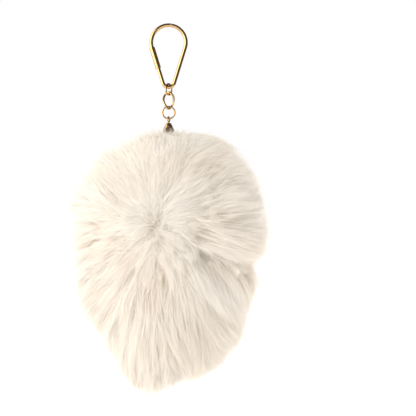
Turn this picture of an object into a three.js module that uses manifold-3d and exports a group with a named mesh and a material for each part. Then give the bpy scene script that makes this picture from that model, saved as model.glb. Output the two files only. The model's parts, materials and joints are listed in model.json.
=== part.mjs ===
// Plush keychain: a pear-shaped gold pull-and-swivel clasp, three chain links and a long-haired fur pom.
// Millimetres, +Z up. The origin is the hang point, on the inside of the clasp loop at its top.
// The front of the pom faces -Y.
import * as THREE from 'three';
import { mergeVertices } from 'three/addons/utils/BufferGeometryUtils.js';
import Module from 'manifold-3d';

const wasm = await Module();
wasm.setup();

// Clasp loop
const CLASP_WIRE = 2.5;        // diameter of the round wire
const CLASP_WIDTH = 26;        // outside, across the top bend
const CLASP_HEIGHT = 44.5;     // outside
const BOTTOM_BEND = 4;         // radius of the bottom bend, on the wire's centre line
const JOINT_OFFSET = 1.3;      // from the middle of the loop to the joint between gate and frame
const JOINT_SLANT = 50;        // degrees that the joint's cut leans from the horizontal
const JOINT_GAP = 0.3;

// Sleeve on the left arm, and what is inside it. Depths run down the arm from the sleeve's mouth.
const SLEEVE_LENGTH = 14.7;
const SLEEVE_CLEARANCE = 0.15; // radial, round the clasp's wire
const SLEEVE_WALL = 0.4;
const GATE_TRAVEL = 4;         // how far the gate pulls out of the sleeve
const GATE_ENTRY = 2.5;        // depth of the gate's full wire in the sleeve
const SEAT_GAP = 0.3;          // between pieces that rest on each other
const LEG_DIAMETER = 1.4;
const LEG_CLEARANCE = 0.1;     // radial, in the bush, the seat and the collar
const BUSH_LENGTH = 1.2;
const SPRING_LENGTH = 5.3;
const SPRING_WIRE = 0.35;
const SPRING_TURNS = 4.5;
const SPRING_CLEARANCE = 0.1;  // radial, outside the spring
const SEAT_THICKNESS = 0.5;
const COLLAR_LENGTH = 0.7;
const COLLAR_CLEARANCE = 0.25; // radial, outside the collar
const BORE_CLEARANCE = 0.1;    // radial, of the bush and the seat in the sleeve

// Chain
const LINK_GAP = 0.2;          // between two links that hang on each other
const CLASP_LINK = { outside: 8.6, wire: 1.3, turn: 60 };
const CURB_LINK = { length: 12.6, width: 8.6, wire: 1.5, topTurn: -30, bottomTurn: 60 };
const JUMP_RING = { outside: 9.4, wire: 1.1, turn: 0 };
const RING_CUT = 0.15;         // width of the butt joint in each round ring

// Eye pin, cap and the anchor inside the pelt
const EYE = { outside: 4.2, wire: 1, turn: 65 };
const EYE_GAP = 0.15;          // between the eye's cut end and the shank, as a share of the wire
const SHANK_BEND = 0.9;        // radius of the bend from the eye into the shank
const CAP_HEIGHT = 7.6;
const CAP_RIM = 7.8;           // diameter
const CAP_CROWN = 4.6;         // diameter of the shoulder
const CAP_WALL = 0.5;
const CAP_HOLE_CLEARANCE = 0.25;
const CAP_PETALS = 6;
const PETAL_NOTCH = { width: 1.5, height: 2.6 };
const CAP_FLARE = { bulge: 0.35, rise: 0.4 };          // bulge in mm, rise as a share of the cap's height
const CAP_SHOULDER = 0.78;     // height of the shoulder, as a share of the cap's height
const CAP_DOME = { radius: 0.72, rise: 0.94 };         // shares of the shoulder's radius and of the height
const CUT_MARGIN = 1;          // how far a cut reaches past what it cuts
const WASHER = { diameter: 8, thickness: 0.8, depth: 9 };
const CRIMP = { diameter: 3.2, length: 1.8 };
const SHANK_CLEARANCE = 0.3;
const SHANK_TAIL = 0.5;        // shank below the crimp

// Pelt and fur. Heights run down from the rim of the cap.
const RIM_TO_FUR = 0.7;
const FUR_HEIGHT = 177;
const FUR_WIDTH = 134;
const FUR_DEPTH = 106;
const CROWN_LEAN = 5;          // sideways drift of the hair at the top
const TAIL_LEAN = -15;         // and of the long hair at the bottom
const CROWN_SHARE = 0.2;       // share of the fur's height that leans at the top
const TAIL_SHARE = 0.16;       // and at the bottom
const PELT_HEIGHT = 114;
const PELT_WIDTH = 72;
const PELT_DEPTH = 54;
const PELT_WALL = 1.2;
const NECK_DIAMETER = 4.4;
const NECK_RISE = 1.8;         // of the gathered neck into the cap
const NECK_DROP = 3.2;         // of the neck below the rim of the cap
const WAIST = 78;              // height of the seam between crown and lower pelt, below the cap's rim
const SEAM_GAP = 0.3;
const BINDING = { thread: 0.7, turns: 3, gap: 0.05, belowRim: 0.3 };
const SEAM_THREAD = 0.8;
const INNER_GAP = 0.35;        // between the pelt and the fur, and round the neck
const SEAM_CLEARANCE = 0.65;   // of the seam threads inside the pelt and round the stuffing
const ANCHOR_ROOM = 3;         // above the stuffing, under the crimp
const NECK_BLEND = 12;         // height over which the round neck becomes the flatter pelt
const NECK_WELL = 3;           // depth of the fur's well round the neck, below the top of the pelt
const WAIST_THREAD_GAP = 0.06 * Math.PI;     // angle on each side of the back seam without waist thread
const BACK_THREAD_START = 4;   // radius of the pelt where the back seam's thread starts and ends

const GOLD = { color: 0xe2b04a, roughness: 0.16, metalness: 1 };
const STEEL = { color: 0xb9bcc0, roughness: 0.32, metalness: 1 };
const FUR = { color: 0xf5eee3, roughness: 0.95, metalness: 0 };
const LEATHER = { color: 0xe2cfb2, roughness: 0.8, metalness: 0 };
const THREAD = { color: 0xf2e9d8, roughness: 0.85, metalness: 0 };
const FIBREFILL = { color: 0xfafafa, roughness: 1, metalness: 0 };

// ---- Helpers ----------------------------------------------------------------------------------

function piece(name, geometry, finish) {
  const mesh = new THREE.Mesh(geometry, new THREE.MeshStandardMaterial(finish));
  mesh.name = name;
  return mesh;
}

function solid(geometry) {
  const bare = geometry.index ? geometry.clone() : geometry;
  bare.deleteAttribute('normal');
  bare.deleteAttribute('uv');
  const merged = mergeVertices(bare, 1e-4);
  const vertProperties = new Float32Array(merged.attributes.position.array);
  const triVerts = new Uint32Array(merged.index.array);
  return new wasm.Manifold(new wasm.Mesh({ numProp: 3, vertProperties, triVerts }));
}

function surface(manifold) {
  const mesh = manifold.getMesh();
  const geometry = new THREE.BufferGeometry();
  geometry.setAttribute('position', new THREE.BufferAttribute(mesh.vertProperties, 3));
  geometry.setIndex(new THREE.BufferAttribute(mesh.triVerts, 1));
  return geometry;
}

// Circular arc in the XZ plane; angles run from +X towards +Z.
class Arc extends THREE.Curve {
  constructor(x, z, radius, from, to) {
    super();
    Object.assign(this, { x, z, radius, from, to });
  }

  getPoint(t, target = new THREE.Vector3()) {
    const angle = this.from + (this.to - this.from) * t;
    return target.set(this.x + this.radius * Math.cos(angle), 0, this.z + this.radius * Math.sin(angle));
  }
}

// Coil about +Z that starts at z = 0 and rises.
class Coil extends THREE.Curve {
  constructor(radius, rise, turns) {
    super();
    Object.assign(this, { radius, rise, turns });
  }

  getPoint(t, target = new THREE.Vector3()) {
    const angle = 2 * Math.PI * this.turns * t;
    return target.set(this.radius * Math.cos(angle), this.radius * Math.sin(angle), this.rise * t);
  }
}

function joined(...curves) {
  const path = new THREE.CurvePath();
  curves.forEach((curve) => path.add(curve));
  return path;
}

// Round wire along a path, with a flat cut at each end.
function wire(path, diameter, steps, sides) {
  const section = new THREE.Shape();
  section.absarc(0, 0, diameter / 2, 0, 2 * Math.PI);
  return new THREE.ExtrudeGeometry(section, { extrudePath: path, steps, curveSegments: sides / 2 });
}

// Solid of revolution about +Z. The outline lists [radius, height] from the bottom up.
function turned(outline, segments) {
  const points = outline.map(([radius, height]) => new THREE.Vector2(radius, height));
  return new THREE.LatheGeometry(points, segments).rotateX(Math.PI / 2);
}

// Flat ring or tube between two heights.
function tube(inner, outer, bottom, top, segments = 20) {
  const outline = [[inner, bottom], [outer, bottom], [outer, top], [inner, top], [inner, bottom]];
  return turned(outline, segments);
}

function box(width, depth, height, x, y, z) {
  return new THREE.BoxGeometry(width, depth, height).translate(x, y, z);
}

const mid = (a, b) => (a + b) / 2;

// ---- Clasp ------------------------------------------------------------------------------------

const topRadius = (CLASP_WIDTH - CLASP_WIRE) / 2;
const topCentre = CLASP_WIRE / 2 - topRadius;
const loopBottom = CLASP_WIRE * 1.5 - CLASP_HEIGHT;          // centre line of the wire at the bottom
const bottomCentre = loopBottom + BOTTOM_BEND;
const armTilt = Math.asin((topRadius - BOTTOM_BEND) / (topCentre - bottomCentre));
const armLength = (topCentre - bottomCentre) * Math.cos(armTilt);
const up = new THREE.Vector3(-Math.sin(armTilt), 0, Math.cos(armTilt));      // up the left arm
const mouthRise = topCentre - topRadius * Math.sin(armTilt);
const mouth = new THREE.Vector3(-topRadius * Math.cos(armTilt), 0, mouthRise);
const alongArm = (depth) => mouth.clone().addScaledVector(up, -depth);
const jointAngle = Math.acos(JOINT_OFFSET / topRadius);
const jointPoint = new Arc(0, topCentre, topRadius, jointAngle, 0).getPoint(0);
const jointSlant = THREE.MathUtils.degToRad(JOINT_SLANT);
const overshoot = CLASP_WIRE / topRadius;                    // angle of wire past the joint, cut away

// Everything on one side of the slanted joint, as a block: side is 1 for the frame's, -1 for the gate's.
function jointBlock(side) {
  const reach = 4 * CLASP_WIRE;
  const block = new THREE.BoxGeometry(reach, reach, reach);
  block.translate(side * (reach - JOINT_GAP) / 2, 0, 0);
  block.rotateY(Math.PI / 2 - jointSlant);
  return solid(block.translate(jointPoint.x, 0, jointPoint.z));
}

// Depths of the pieces in the sleeve
const bushTop = GATE_ENTRY + SEAT_GAP;
const springTop = bushTop + BUSH_LENGTH + SEAT_GAP / 2;
const springBottom = springTop + SPRING_LENGTH;
const seatTop = springBottom + SEAT_GAP / 2;
const collarTop = seatTop + SEAT_THICKNESS + SEAT_GAP / 2;
const legEnd = collarTop + COLLAR_LENGTH + SEAT_GAP / 2;
const plugTop = legEnd + 2 * SEAT_GAP;
const legBore = LEG_DIAMETER / 2 + LEG_CLEARANCE;

// Pieces in the sleeve lie on +Z of a group that leans with the arm.
const inSleeve = new THREE.Group();
inSleeve.position.copy(mouth);
inSleeve.rotation.y = -armTilt;

function claspFrame() {
  const path = joined(
    new THREE.LineCurve3(alongArm(plugTop), alongArm(armLength)),
    new Arc(0, bottomCentre, BOTTOM_BEND, Math.PI + armTilt, 2 * Math.PI - armTilt),
    new THREE.LineCurve3(
      new THREE.Vector3(BOTTOM_BEND * Math.cos(armTilt), 0, bottomCentre - BOTTOM_BEND * Math.sin(armTilt)),
      new THREE.Vector3(-mouth.x, 0, mouth.z),
    ),
    new Arc(0, topCentre, topRadius, -armTilt, jointAngle + overshoot),
  );
  const whole = solid(wire(path, CLASP_WIRE, 48, 12));
  return piece('clasp_frame', surface(whole.subtract(jointBlock(-1))), GOLD);
}

function claspGate() {
  const path = joined(
    new THREE.LineCurve3(alongArm(GATE_ENTRY), mouth),
    new Arc(0, topCentre, topRadius, Math.PI + armTilt, jointAngle - overshoot),
  );
  const hook = solid(wire(path, CLASP_WIRE, 24, 12)).subtract(jointBlock(1));
  const leg = new THREE.CylinderGeometry(LEG_DIAMETER / 2, LEG_DIAMETER / 2, legEnd - GATE_ENTRY / 2, 12);
  leg.rotateX(Math.PI / 2).rotateY(-armTilt);
  const middle = alongArm(mid(legEnd, GATE_ENTRY / 2));
  leg.translate(middle.x, middle.y, middle.z);
  return piece('clasp_gate', surface(hook.add(solid(leg))), GOLD);
}

function sleevePieces() {
  const bore = CLASP_WIRE / 2 + SLEEVE_CLEARANCE;
  const ringOnLeg = (name, radius, top, length, finish) => (
    piece(name, tube(legBore, radius, -top - length, -top), finish)
  );
  const sleeve = piece('gate_sleeve', tube(bore, bore + SLEEVE_WALL, -SLEEVE_LENGTH, 0, 24), GOLD);
  const coilRadius = bore - SPRING_CLEARANCE - SPRING_WIRE / 2;
  const coil = new Coil(coilRadius, SPRING_LENGTH - SPRING_WIRE, SPRING_TURNS);
  const spring = piece('gate_spring', wire(coil, SPRING_WIRE, 46, 6), STEEL);
  spring.position.z = -springBottom + SPRING_WIRE / 2;
  return [
    sleeve,
    ringOnLeg('sleeve_bush', bore - BORE_CLEARANCE, bushTop, BUSH_LENGTH, STEEL),
    spring,
    ringOnLeg('spring_seat', bore - BORE_CLEARANCE, seatTop, SEAT_THICKNESS, STEEL),
    ringOnLeg('gate_stop_collar', bore - COLLAR_CLEARANCE, collarTop, COLLAR_LENGTH, STEEL),
  ];
}

// ---- Chain ------------------------------------------------------------------------------------

// A round ring in a vertical plane, turned about +Z, with its cut at cutAngle.
function roundRing(name, ring, topCentreLine, cutAngle, steps) {
  const radius = (ring.outside - ring.wire) / 2;
  const half = RING_CUT / 2 / radius;
  const arc = new Arc(0, 0, radius, cutAngle + half, cutAngle + 2 * Math.PI - half);
  const mesh = piece(name, wire(arc, ring.wire, steps, 8), GOLD);
  mesh.position.z = topCentreLine - radius;
  mesh.rotation.z = THREE.MathUtils.degToRad(ring.turn);
  return mesh;
}

// Oval link whose plane turns about +Z from its bottom bow to its top bow.
class TwistedOval extends THREE.Curve {
  constructor(halfWidth, halfLength, bottomTurn, topTurn) {
    super();
    Object.assign(this, { halfWidth, halfLength, bottomTurn, topTurn });
  }

  getPoint(t, target = new THREE.Vector3()) {
    const angle = 2 * Math.PI * t;
    const rise = Math.sin(angle);
    const side = this.halfWidth * Math.cos(angle);
    const turn = THREE.MathUtils.lerp(this.bottomTurn, this.topTurn, (rise + 1) / 2);
    return target.set(side * Math.cos(turn), side * Math.sin(turn), this.halfLength * rise);
  }
}

// Height of the next link's centre line at its top, hanging in a link whose lowest centre line is given.
const hangsIn = (lowest, wireAbove, wireBelow) => lowest + (wireAbove + wireBelow) / 2 + LINK_GAP;

const claspLinkTop = hangsIn(loopBottom, CLASP_WIRE, CLASP_LINK.wire);
const claspLinkLow = claspLinkTop - (CLASP_LINK.outside - CLASP_LINK.wire);
const curbTop = hangsIn(claspLinkLow, CLASP_LINK.wire, CURB_LINK.wire);
const curbLow = curbTop - (CURB_LINK.length - CURB_LINK.wire);
const jumpTop = hangsIn(curbLow, CURB_LINK.wire, JUMP_RING.wire);
const jumpLow = jumpTop - (JUMP_RING.outside - JUMP_RING.wire);
const eyeTop = hangsIn(jumpLow, JUMP_RING.wire, EYE.wire);
const eyeRadius = (EYE.outside - EYE.wire) / 2;
const eyeCentre = eyeTop - eyeRadius;

function curbLink() {
  const oval = new TwistedOval(
    (CURB_LINK.width - CURB_LINK.wire) / 2,
    (CURB_LINK.length - CURB_LINK.wire) / 2,
    THREE.MathUtils.degToRad(CURB_LINK.bottomTurn),
    THREE.MathUtils.degToRad(CURB_LINK.topTurn),
  );
  const mesh = piece('curb_link', new THREE.TubeGeometry(oval, 40, CURB_LINK.wire / 2, 8, true), GOLD);
  mesh.position.z = mid(curbTop, curbLow);
  return mesh;
}

// ---- Eye pin, cap and anchor ------------------------------------------------------------------

const capTop = eyeCentre - EYE.outside / 2 - LINK_GAP;
const capRim = capTop - CAP_HEIGHT;
const furTop = capRim - RIM_TO_FUR;
const washerTop = capRim - WASHER.depth;
const crimpTop = washerTop - WASHER.thickness - SEAT_GAP;
const shankEnd = crimpTop - CRIMP.length - SHANK_TAIL;

// The wire goes once round the eye, then turns down into the shank on the axis.
function eyePin() {
  const reach = eyeRadius + SHANK_BEND;
  const side = SHANK_BEND;
  const drop = Math.sqrt(reach ** 2 - side ** 2);
  const meet = Math.atan2(-drop, side);
  const bendCentre = eyeCentre - drop;
  const nearlyRound = 2 * Math.PI - (1 + EYE_GAP) * EYE.wire / eyeRadius;
  const path = joined(
    new Arc(0, eyeCentre, eyeRadius, meet + nearlyRound, meet),
    new Arc(side, bendCentre, SHANK_BEND, meet + Math.PI, Math.PI),
    new THREE.LineCurve3(new THREE.Vector3(0, 0, bendCentre), new THREE.Vector3(0, 0, shankEnd)),
  );
  const mesh = piece('eye_pin', wire(path, EYE.wire, 40, 8), GOLD);
  mesh.rotation.z = THREE.MathUtils.degToRad(EYE.turn);
  return mesh;
}

// Tulip-shaped cap: a domed shoulder round the shank, flaring to a rim cut into petals.
function bellCap() {
  const hole = EYE.wire / 2 + CAP_HOLE_CLEARANCE;
  const crown = CAP_CROWN / 2;
  const rim = CAP_RIM / 2;
  const wall = CAP_WALL;
  const shoulder = CAP_HEIGHT * CAP_SHOULDER;
  const flare = mid(rim, crown) + CAP_FLARE.bulge;
  const flareRise = CAP_HEIGHT * CAP_FLARE.rise;
  const dome = crown * CAP_DOME.radius;
  const domeRise = CAP_HEIGHT * CAP_DOME.rise;
  const outline = [
    [rim - wall, 0],
    [rim, 0],
    [flare, flareRise],
    [crown, shoulder],
    [dome, domeRise],
    [hole + 0.3, CAP_HEIGHT],
    [hole, CAP_HEIGHT],
    [hole, CAP_HEIGHT - wall],
    [dome - wall * 0.6, domeRise - wall],
    [crown - wall, shoulder - wall * 0.5],
    [flare - wall, flareRise],
    [rim - wall, 0],
  ];
  let cap = solid(turned(outline, 24));
  const notch = new THREE.Shape();
  notch.moveTo(-PETAL_NOTCH.width / 2, -CUT_MARGIN);
  notch.lineTo(PETAL_NOTCH.width / 2, -CUT_MARGIN);
  notch.lineTo(0, PETAL_NOTCH.height);
  for (let i = 0; i < CAP_PETALS; i += 1) {
    const cutter = new THREE.ExtrudeGeometry(notch, { depth: CAP_RIM, bevelEnabled: false });
    cutter.rotateX(Math.PI / 2).rotateZ((i + 0.5) * 2 * Math.PI / CAP_PETALS);
    cap = cap.subtract(solid(cutter));
  }
  const mesh = piece('bell_cap', surface(cap), GOLD);
  mesh.position.z = capRim;
  return mesh;
}

function anchorPieces() {
  const bore = EYE.wire / 2 + SHANK_CLEARANCE;
  const washer = tube(bore, WASHER.diameter / 2, washerTop - WASHER.thickness, washerTop);
  const crimp = tube(bore, CRIMP.diameter / 2, crimpTop - CRIMP.length, crimpTop, 16);
  return [piece('anchor_washer', washer, STEEL), piece('crimp_bead', crimp, STEEL)];
}

// ---- Pelt, stuffing and fur -------------------------------------------------------------------

// Outlines as shares of half the width and of the height, from the bottom up.
const FUR_OUTLINE = [
  [0, 0], [0.3, 0.045], [0.54, 0.14], [0.72, 0.24], [0.86, 0.35], [0.94, 0.47],
  [1, 0.64], [0.95, 0.78], [0.8, 0.9], [0.5, 0.975], [0.2, 1], [0, 1],
];
const PELT_OUTLINE = [
  [0, 0], [0.45, 0.06], [0.76, 0.2], [0.95, 0.38], [1, 0.54], [0.93, 0.74], [0.66, 0.91], [0.3, 0.97],
];
const peltTop = capRim - NECK_DROP;
const peltLow = peltTop - PELT_HEIGHT;
const waist = capRim - WAIST;
const hugeBox = 2 * FUR_HEIGHT;

// Smooth outline through the shares, moved outwards by offset.
function outlinePoints(shares, width, bottom, height, offset, count) {
  const curve = new THREE.SplineCurve(shares.map(([r, h]) => (
    new THREE.Vector2(r * width / 2, bottom + h * height)
  )));
  const points = [];
  for (let i = 0; i <= count; i += 1) {
    const point = curve.getPoint(i / count);
    const along = curve.getTangent(i / count);
    points.push([Math.max(point.x + along.y * offset, 0), point.y - along.x * offset]);
  }
  points[0] = [0, bottom - offset];
  return points;
}

// Flattens the depth of a turned solid below the neck.
function flattened(geometry, depthShare) {
  const position = geometry.attributes.position;
  for (let i = 0; i < position.count; i += 1) {
    const below = THREE.MathUtils.smoothstep(peltTop - position.getZ(i), 0, NECK_BLEND);
    position.setY(i, position.getY(i) * THREE.MathUtils.lerp(1, depthShare, below));
  }
  return geometry;
}

// The pelt's outer surface moved outwards by offset, with its neck.
function peltSolid(offset, neckTop) {
  const neck = NECK_DIAMETER / 2 + offset;
  const outline = outlinePoints(PELT_OUTLINE, PELT_WIDTH, peltLow, PELT_HEIGHT, offset, 13);
  outline.push([neck, peltTop + offset], [neck, neckTop], [0, neckTop]);
  return solid(flattened(turned(outline, 24), PELT_DEPTH / PELT_WIDTH));
}

function furSolid() {
  const outline = outlinePoints(FUR_OUTLINE, FUR_WIDTH, furTop - FUR_HEIGHT, FUR_HEIGHT, 0, 18);
  outline[outline.length - 1] = [0, furTop];
  const geometry = turned(outline, 28).scale(1, FUR_DEPTH / FUR_WIDTH, 1);
  const position = geometry.attributes.position;
  for (let i = 0; i < position.count; i += 1) {
    const down = (furTop - position.getZ(i)) / FUR_HEIGHT;
    const crown = 1 - THREE.MathUtils.smoothstep(down, 0, CROWN_SHARE);
    const tail = THREE.MathUtils.smoothstep(down, 1 - TAIL_SHARE, 1);
    position.setX(i, position.getX(i) + CROWN_LEAN * crown + TAIL_LEAN * tail);
  }
  return solid(geometry);
}

// Blocks that keep what is above or below the waist, half a seam gap clear of it.
const aboveWaist = () => solid(box(hugeBox, hugeBox, hugeBox, 0, 0, waist + (hugeBox + SEAM_GAP) / 2));
const belowWaist = () => solid(box(hugeBox, hugeBox, hugeBox, 0, 0, waist - (hugeBox + SEAM_GAP) / 2));

function peltPieces() {
  const neckTop = capRim + NECK_RISE;
  const backSlit = solid(box(SEAM_GAP, hugeBox, hugeBox, 0, hugeBox / 2, 0));
  const inside = peltSolid(-PELT_WALL, neckTop + CUT_MARGIN);
  const shell = peltSolid(0, neckTop).subtract(inside).subtract(backSlit);
  return [
    piece('crown_pelt', surface(shell.intersect(aboveWaist())), LEATHER),
    piece('lower_pelt', surface(shell.intersect(belowWaist())), LEATHER),
  ];
}

function furPieces() {
  const bindingRoom = NECK_DIAMETER / 2 + BINDING.thread + 3 * INNER_GAP;
  const wellLow = peltTop - NECK_WELL;
  const well = solid(turned([[0, wellLow], [bindingRoom, wellLow], [bindingRoom, 0], [0, 0]], 24));
  const shell = furSolid().subtract(peltSolid(INNER_GAP, capRim)).subtract(well);
  return [
    piece('crown_fur', surface(shell.intersect(aboveWaist())), FUR),
    piece('lower_fur', surface(shell.intersect(belowWaist())), FUR),
  ];
}

function stuffing() {
  const inset = PELT_WALL + SEAM_THREAD + 2 * SEAM_CLEARANCE;
  const top = shankEnd - ANCHOR_ROOM;
  const room = solid(box(hugeBox, hugeBox, hugeBox, 0, 0, top - hugeBox / 2));
  return piece('stuffing_core', surface(peltSolid(-inset, peltTop).intersect(room)), FIBREFILL);
}

// Threads lie just inside the pelt, over its seams.
function seamThreads() {
  const inset = PELT_WALL + SEAM_CLEARANCE + SEAM_THREAD / 2;
  const depthShare = PELT_DEPTH / PELT_WIDTH;
  const profile = outlinePoints(PELT_OUTLINE, PELT_WIDTH, peltLow, PELT_HEIGHT, -inset, 60);
  const atWaist = profile.reduce((a, b) => (Math.abs(b[1] - waist) < Math.abs(a[1] - waist) ? b : a));
  const start = Math.PI / 2 + WAIST_THREAD_GAP;
  const end = Math.PI * 5 / 2 - WAIST_THREAD_GAP;
  const ring = new THREE.EllipseCurve(0, 0, atWaist[0], atWaist[0] * depthShare, start, end);
  const waistLine = ring.getPoints(48).map((p) => new THREE.Vector3(p.x, p.y, waist));
  const reach = profile.filter(([radius, height]) => (
    radius > BACK_THREAD_START && height < shankEnd - ANCHOR_ROOM
  ));
  const backLine = reach.map(([radius, height]) => new THREE.Vector3(0, radius * depthShare, height));
  const path = (points) => new THREE.CatmullRomCurve3(points);
  return [
    piece('waist_seam', wire(path(waistLine), SEAM_THREAD, 36, 6), THREAD),
    piece('back_seam', wire(path(backLine), SEAM_THREAD, 28, 6), THREAD),
  ];
}

function neckBinding() {
  const radius = NECK_DIAMETER / 2 + INNER_GAP + BINDING.thread / 2;
  const rise = BINDING.turns * (BINDING.thread + BINDING.gap);
  const coil = new Coil(radius, rise, BINDING.turns);
  const mesh = piece('neck_binding', wire(coil, BINDING.thread, 36, 6), THREAD);
  mesh.position.z = capRim - BINDING.belowRim - BINDING.thread / 2 - rise;
  return mesh;
}

// ---- Assembly ---------------------------------------------------------------------------------

const keychain = new THREE.Group();
inSleeve.add(...sleevePieces());
keychain.add(
  claspFrame(),
  claspGate(),
  inSleeve,
  roundRing('clasp_link', CLASP_LINK, claspLinkTop, Math.PI * 0.1, 28),
  curbLink(),
  roundRing('jump_ring', JUMP_RING, jumpTop, Math.PI * 0.8, 32),
  eyePin(),
  bellCap(),
  ...anchorPieces(),
  ...peltPieces(),
  ...seamThreads(),
  stuffing(),
  neckBinding(),
  ...furPieces(),
);

export default keychain;
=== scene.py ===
# %% [markdown]
# # A plush keychain: fur pom, short chain and pull-and-swivel clasp
#
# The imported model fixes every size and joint. This notebook builds the looks round it: gold hardware with
# its spring inside, a sewn and stuffed pelt, and a coat of long soft hair. Every piece takes its place
# from the frame, so the frame comes first, with the box that it fills.

# %% Load the frame
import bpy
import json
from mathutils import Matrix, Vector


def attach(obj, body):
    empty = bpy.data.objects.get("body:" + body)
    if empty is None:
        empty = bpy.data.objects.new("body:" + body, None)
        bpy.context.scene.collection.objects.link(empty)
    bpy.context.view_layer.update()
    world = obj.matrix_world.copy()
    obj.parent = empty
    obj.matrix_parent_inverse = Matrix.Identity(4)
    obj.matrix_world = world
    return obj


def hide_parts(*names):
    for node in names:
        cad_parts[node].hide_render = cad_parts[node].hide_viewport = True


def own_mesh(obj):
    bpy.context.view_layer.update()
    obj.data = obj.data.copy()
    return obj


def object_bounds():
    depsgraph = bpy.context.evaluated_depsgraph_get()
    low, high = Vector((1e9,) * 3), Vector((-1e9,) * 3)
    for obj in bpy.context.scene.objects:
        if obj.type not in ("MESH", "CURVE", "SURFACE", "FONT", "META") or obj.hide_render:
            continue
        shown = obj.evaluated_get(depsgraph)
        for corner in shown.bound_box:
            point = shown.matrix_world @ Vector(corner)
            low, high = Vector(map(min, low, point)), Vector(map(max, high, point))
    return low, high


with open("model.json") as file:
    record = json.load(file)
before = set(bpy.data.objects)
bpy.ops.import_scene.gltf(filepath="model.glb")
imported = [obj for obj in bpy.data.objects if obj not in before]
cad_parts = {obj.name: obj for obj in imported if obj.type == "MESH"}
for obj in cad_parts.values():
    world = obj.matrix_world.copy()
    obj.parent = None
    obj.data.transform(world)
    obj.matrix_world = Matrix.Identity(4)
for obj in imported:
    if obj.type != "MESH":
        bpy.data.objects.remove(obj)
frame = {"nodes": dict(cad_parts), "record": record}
cad_box = [list(corner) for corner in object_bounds()]

import json
import math

import bmesh
import bpy
import numpy as np
from mathutils import Matrix, Vector
from mathutils.bvhtree import BVHTree

MM = 0.001
scene = bpy.context.scene
nodes = frame["nodes"]
print("CAD box in mm:", [[round(v / MM, 1) for v in corner] for corner in cad_box])

# %% [markdown]
# ## Camera
#
# The keychain hangs and the camera looks straight at its front, in line with +Y. A short lens would swell
# the front of the pom, so a long one is used from further away, which keeps the clasp and the pom in
# proportion.

# %% Camera
VIEW_CENTRE = Vector((26.7, 0, -122.7)) * MM
VIEW_WIDTH = 282 * MM
LENS = 135
SENSOR = 36

camera_data = bpy.data.cameras.new("camera")
camera_data.lens = LENS
camera_data.sensor_width = SENSOR
camera = bpy.data.objects.new("camera", camera_data)
camera.location = VIEW_CENTRE + Vector((0, -VIEW_WIDTH * LENS / SENSOR, 0))
camera.rotation_euler = (math.radians(90), 0, 0)
scene.collection.objects.link(camera)
scene.camera = camera
print("camera at", [round(v, 3) for v in camera.location])

# %% [markdown]
# ## Helpers for pieces
#
# A piece is a mesh object at the origin, with its place in its mesh. It rides on a body of the frame,
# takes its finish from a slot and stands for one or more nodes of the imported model, so one helper does
# all three.

# %% Helpers for pieces
def link(name, mesh):
    """An object at the origin that shows a mesh."""
    piece = bpy.data.objects.new(name, mesh)
    scene.collection.objects.link(piece)
    return piece


def finish_mesh(name, bm, sharp=40):
    """A smooth-shaded mesh from a bmesh, with edges sharper than an angle left sharp."""
    bmesh.ops.recalc_face_normals(bm, faces=bm.faces)
    mesh = bpy.data.meshes.new(name)
    bm.to_mesh(mesh)
    bm.free()
    mesh.shade_smooth()
    mesh.set_sharp_from_angle(angle=math.radians(sharp))
    return mesh


def fit(piece, body, slot, *replaced, material=None):
    """Gives a piece its body, its slot's finish or another, and the nodes that it stands for."""
    piece.data.materials.clear()
    piece.data.materials.append(material or FINISHES[slot])
    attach(piece, body)
    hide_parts(*replaced)
    return piece


def add_piece(name, bm, body, slot, *replaced, sharp=40, material=None):
    """Turns a bmesh into a finished piece."""
    return fit(link(name, finish_mesh(name, bm, sharp)), body, slot, *replaced, material=material)


# %% Helpers for shader nodes
def add_node(tree, kind, values=()):
    """A shader node of a kind, with values for some of its inputs as (input, value) pairs."""
    node = tree.nodes.new("ShaderNode" + kind)
    for label, value in values:
        node.inputs[label].default_value = value
    return node


def connect(tree, *links):
    """Joins nodes; each link is a node, its output, another node and its input."""
    for source, output, target, label in links:
        tree.links.new(source.outputs[output], target.inputs[label])


def new_material(name, values):
    """A material and its Principled shader, with values for some of the shader's inputs."""
    material = bpy.data.materials.new(name)
    material.use_nodes = True
    shader = material.node_tree.nodes["Principled BSDF"]
    for label, value in values:
        shader.inputs[label].default_value = value
    return material, shader


# %% [markdown]
# ## Floor, background and light
#
# Pale hair wants bright light from every side, and polished metal wants something dark to reflect. Black
# cards could be hung round the object, but they would show in other views and shade the hair. So the
# background shader answers by kind of ray: the camera sees white, the hair gets even white light, and a
# reflection meets a bright left, a dark patch in front, high and to the right, and a duller back, which
# draw the bands along the gold wire.

# %% Floor
FLOOR_DROP = 14 * MM
FLOOR_RADIUS = 6
FLOOR_VALUES = [
    ("Base Color", (0.92, 0.92, 0.92, 1)), ("Roughness", 0.8),
    ("Emission Color", (1, 1, 1, 1)), ("Emission Strength", 0.45),
]

floor_bm = bmesh.new()
bmesh.ops.create_circle(floor_bm, cap_ends=True, segments=96, radius=FLOOR_RADIUS)
bmesh.ops.translate(floor_bm, verts=floor_bm.verts, vec=(0, 0, cad_box[0][2] - FLOOR_DROP))
floor = link("floor", finish_mesh("floor", floor_bm))
floor.data.materials.append(new_material("white_floor", FLOOR_VALUES)[0])
floor.visible_glossy = False

# %% Background
STUDIO_LIGHT = 1.0
DARK_PATCH = Vector((0.62, -0.28, 0.73)).normalized()
BRIGHT_SIDE = Vector((-0.85, -0.45, 0.1)).normalized()
BACK = (0, 1, 0)

scene.view_settings.view_transform = "Standard"
world = bpy.data.worlds.new("studio")
scene.world = world
world.use_nodes = True
sky = world.node_tree
background = sky.nodes["Background"]
background.inputs["Color"].default_value = (1, 1, 1, 1)
way = add_node(sky, "TexCoord")


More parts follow.
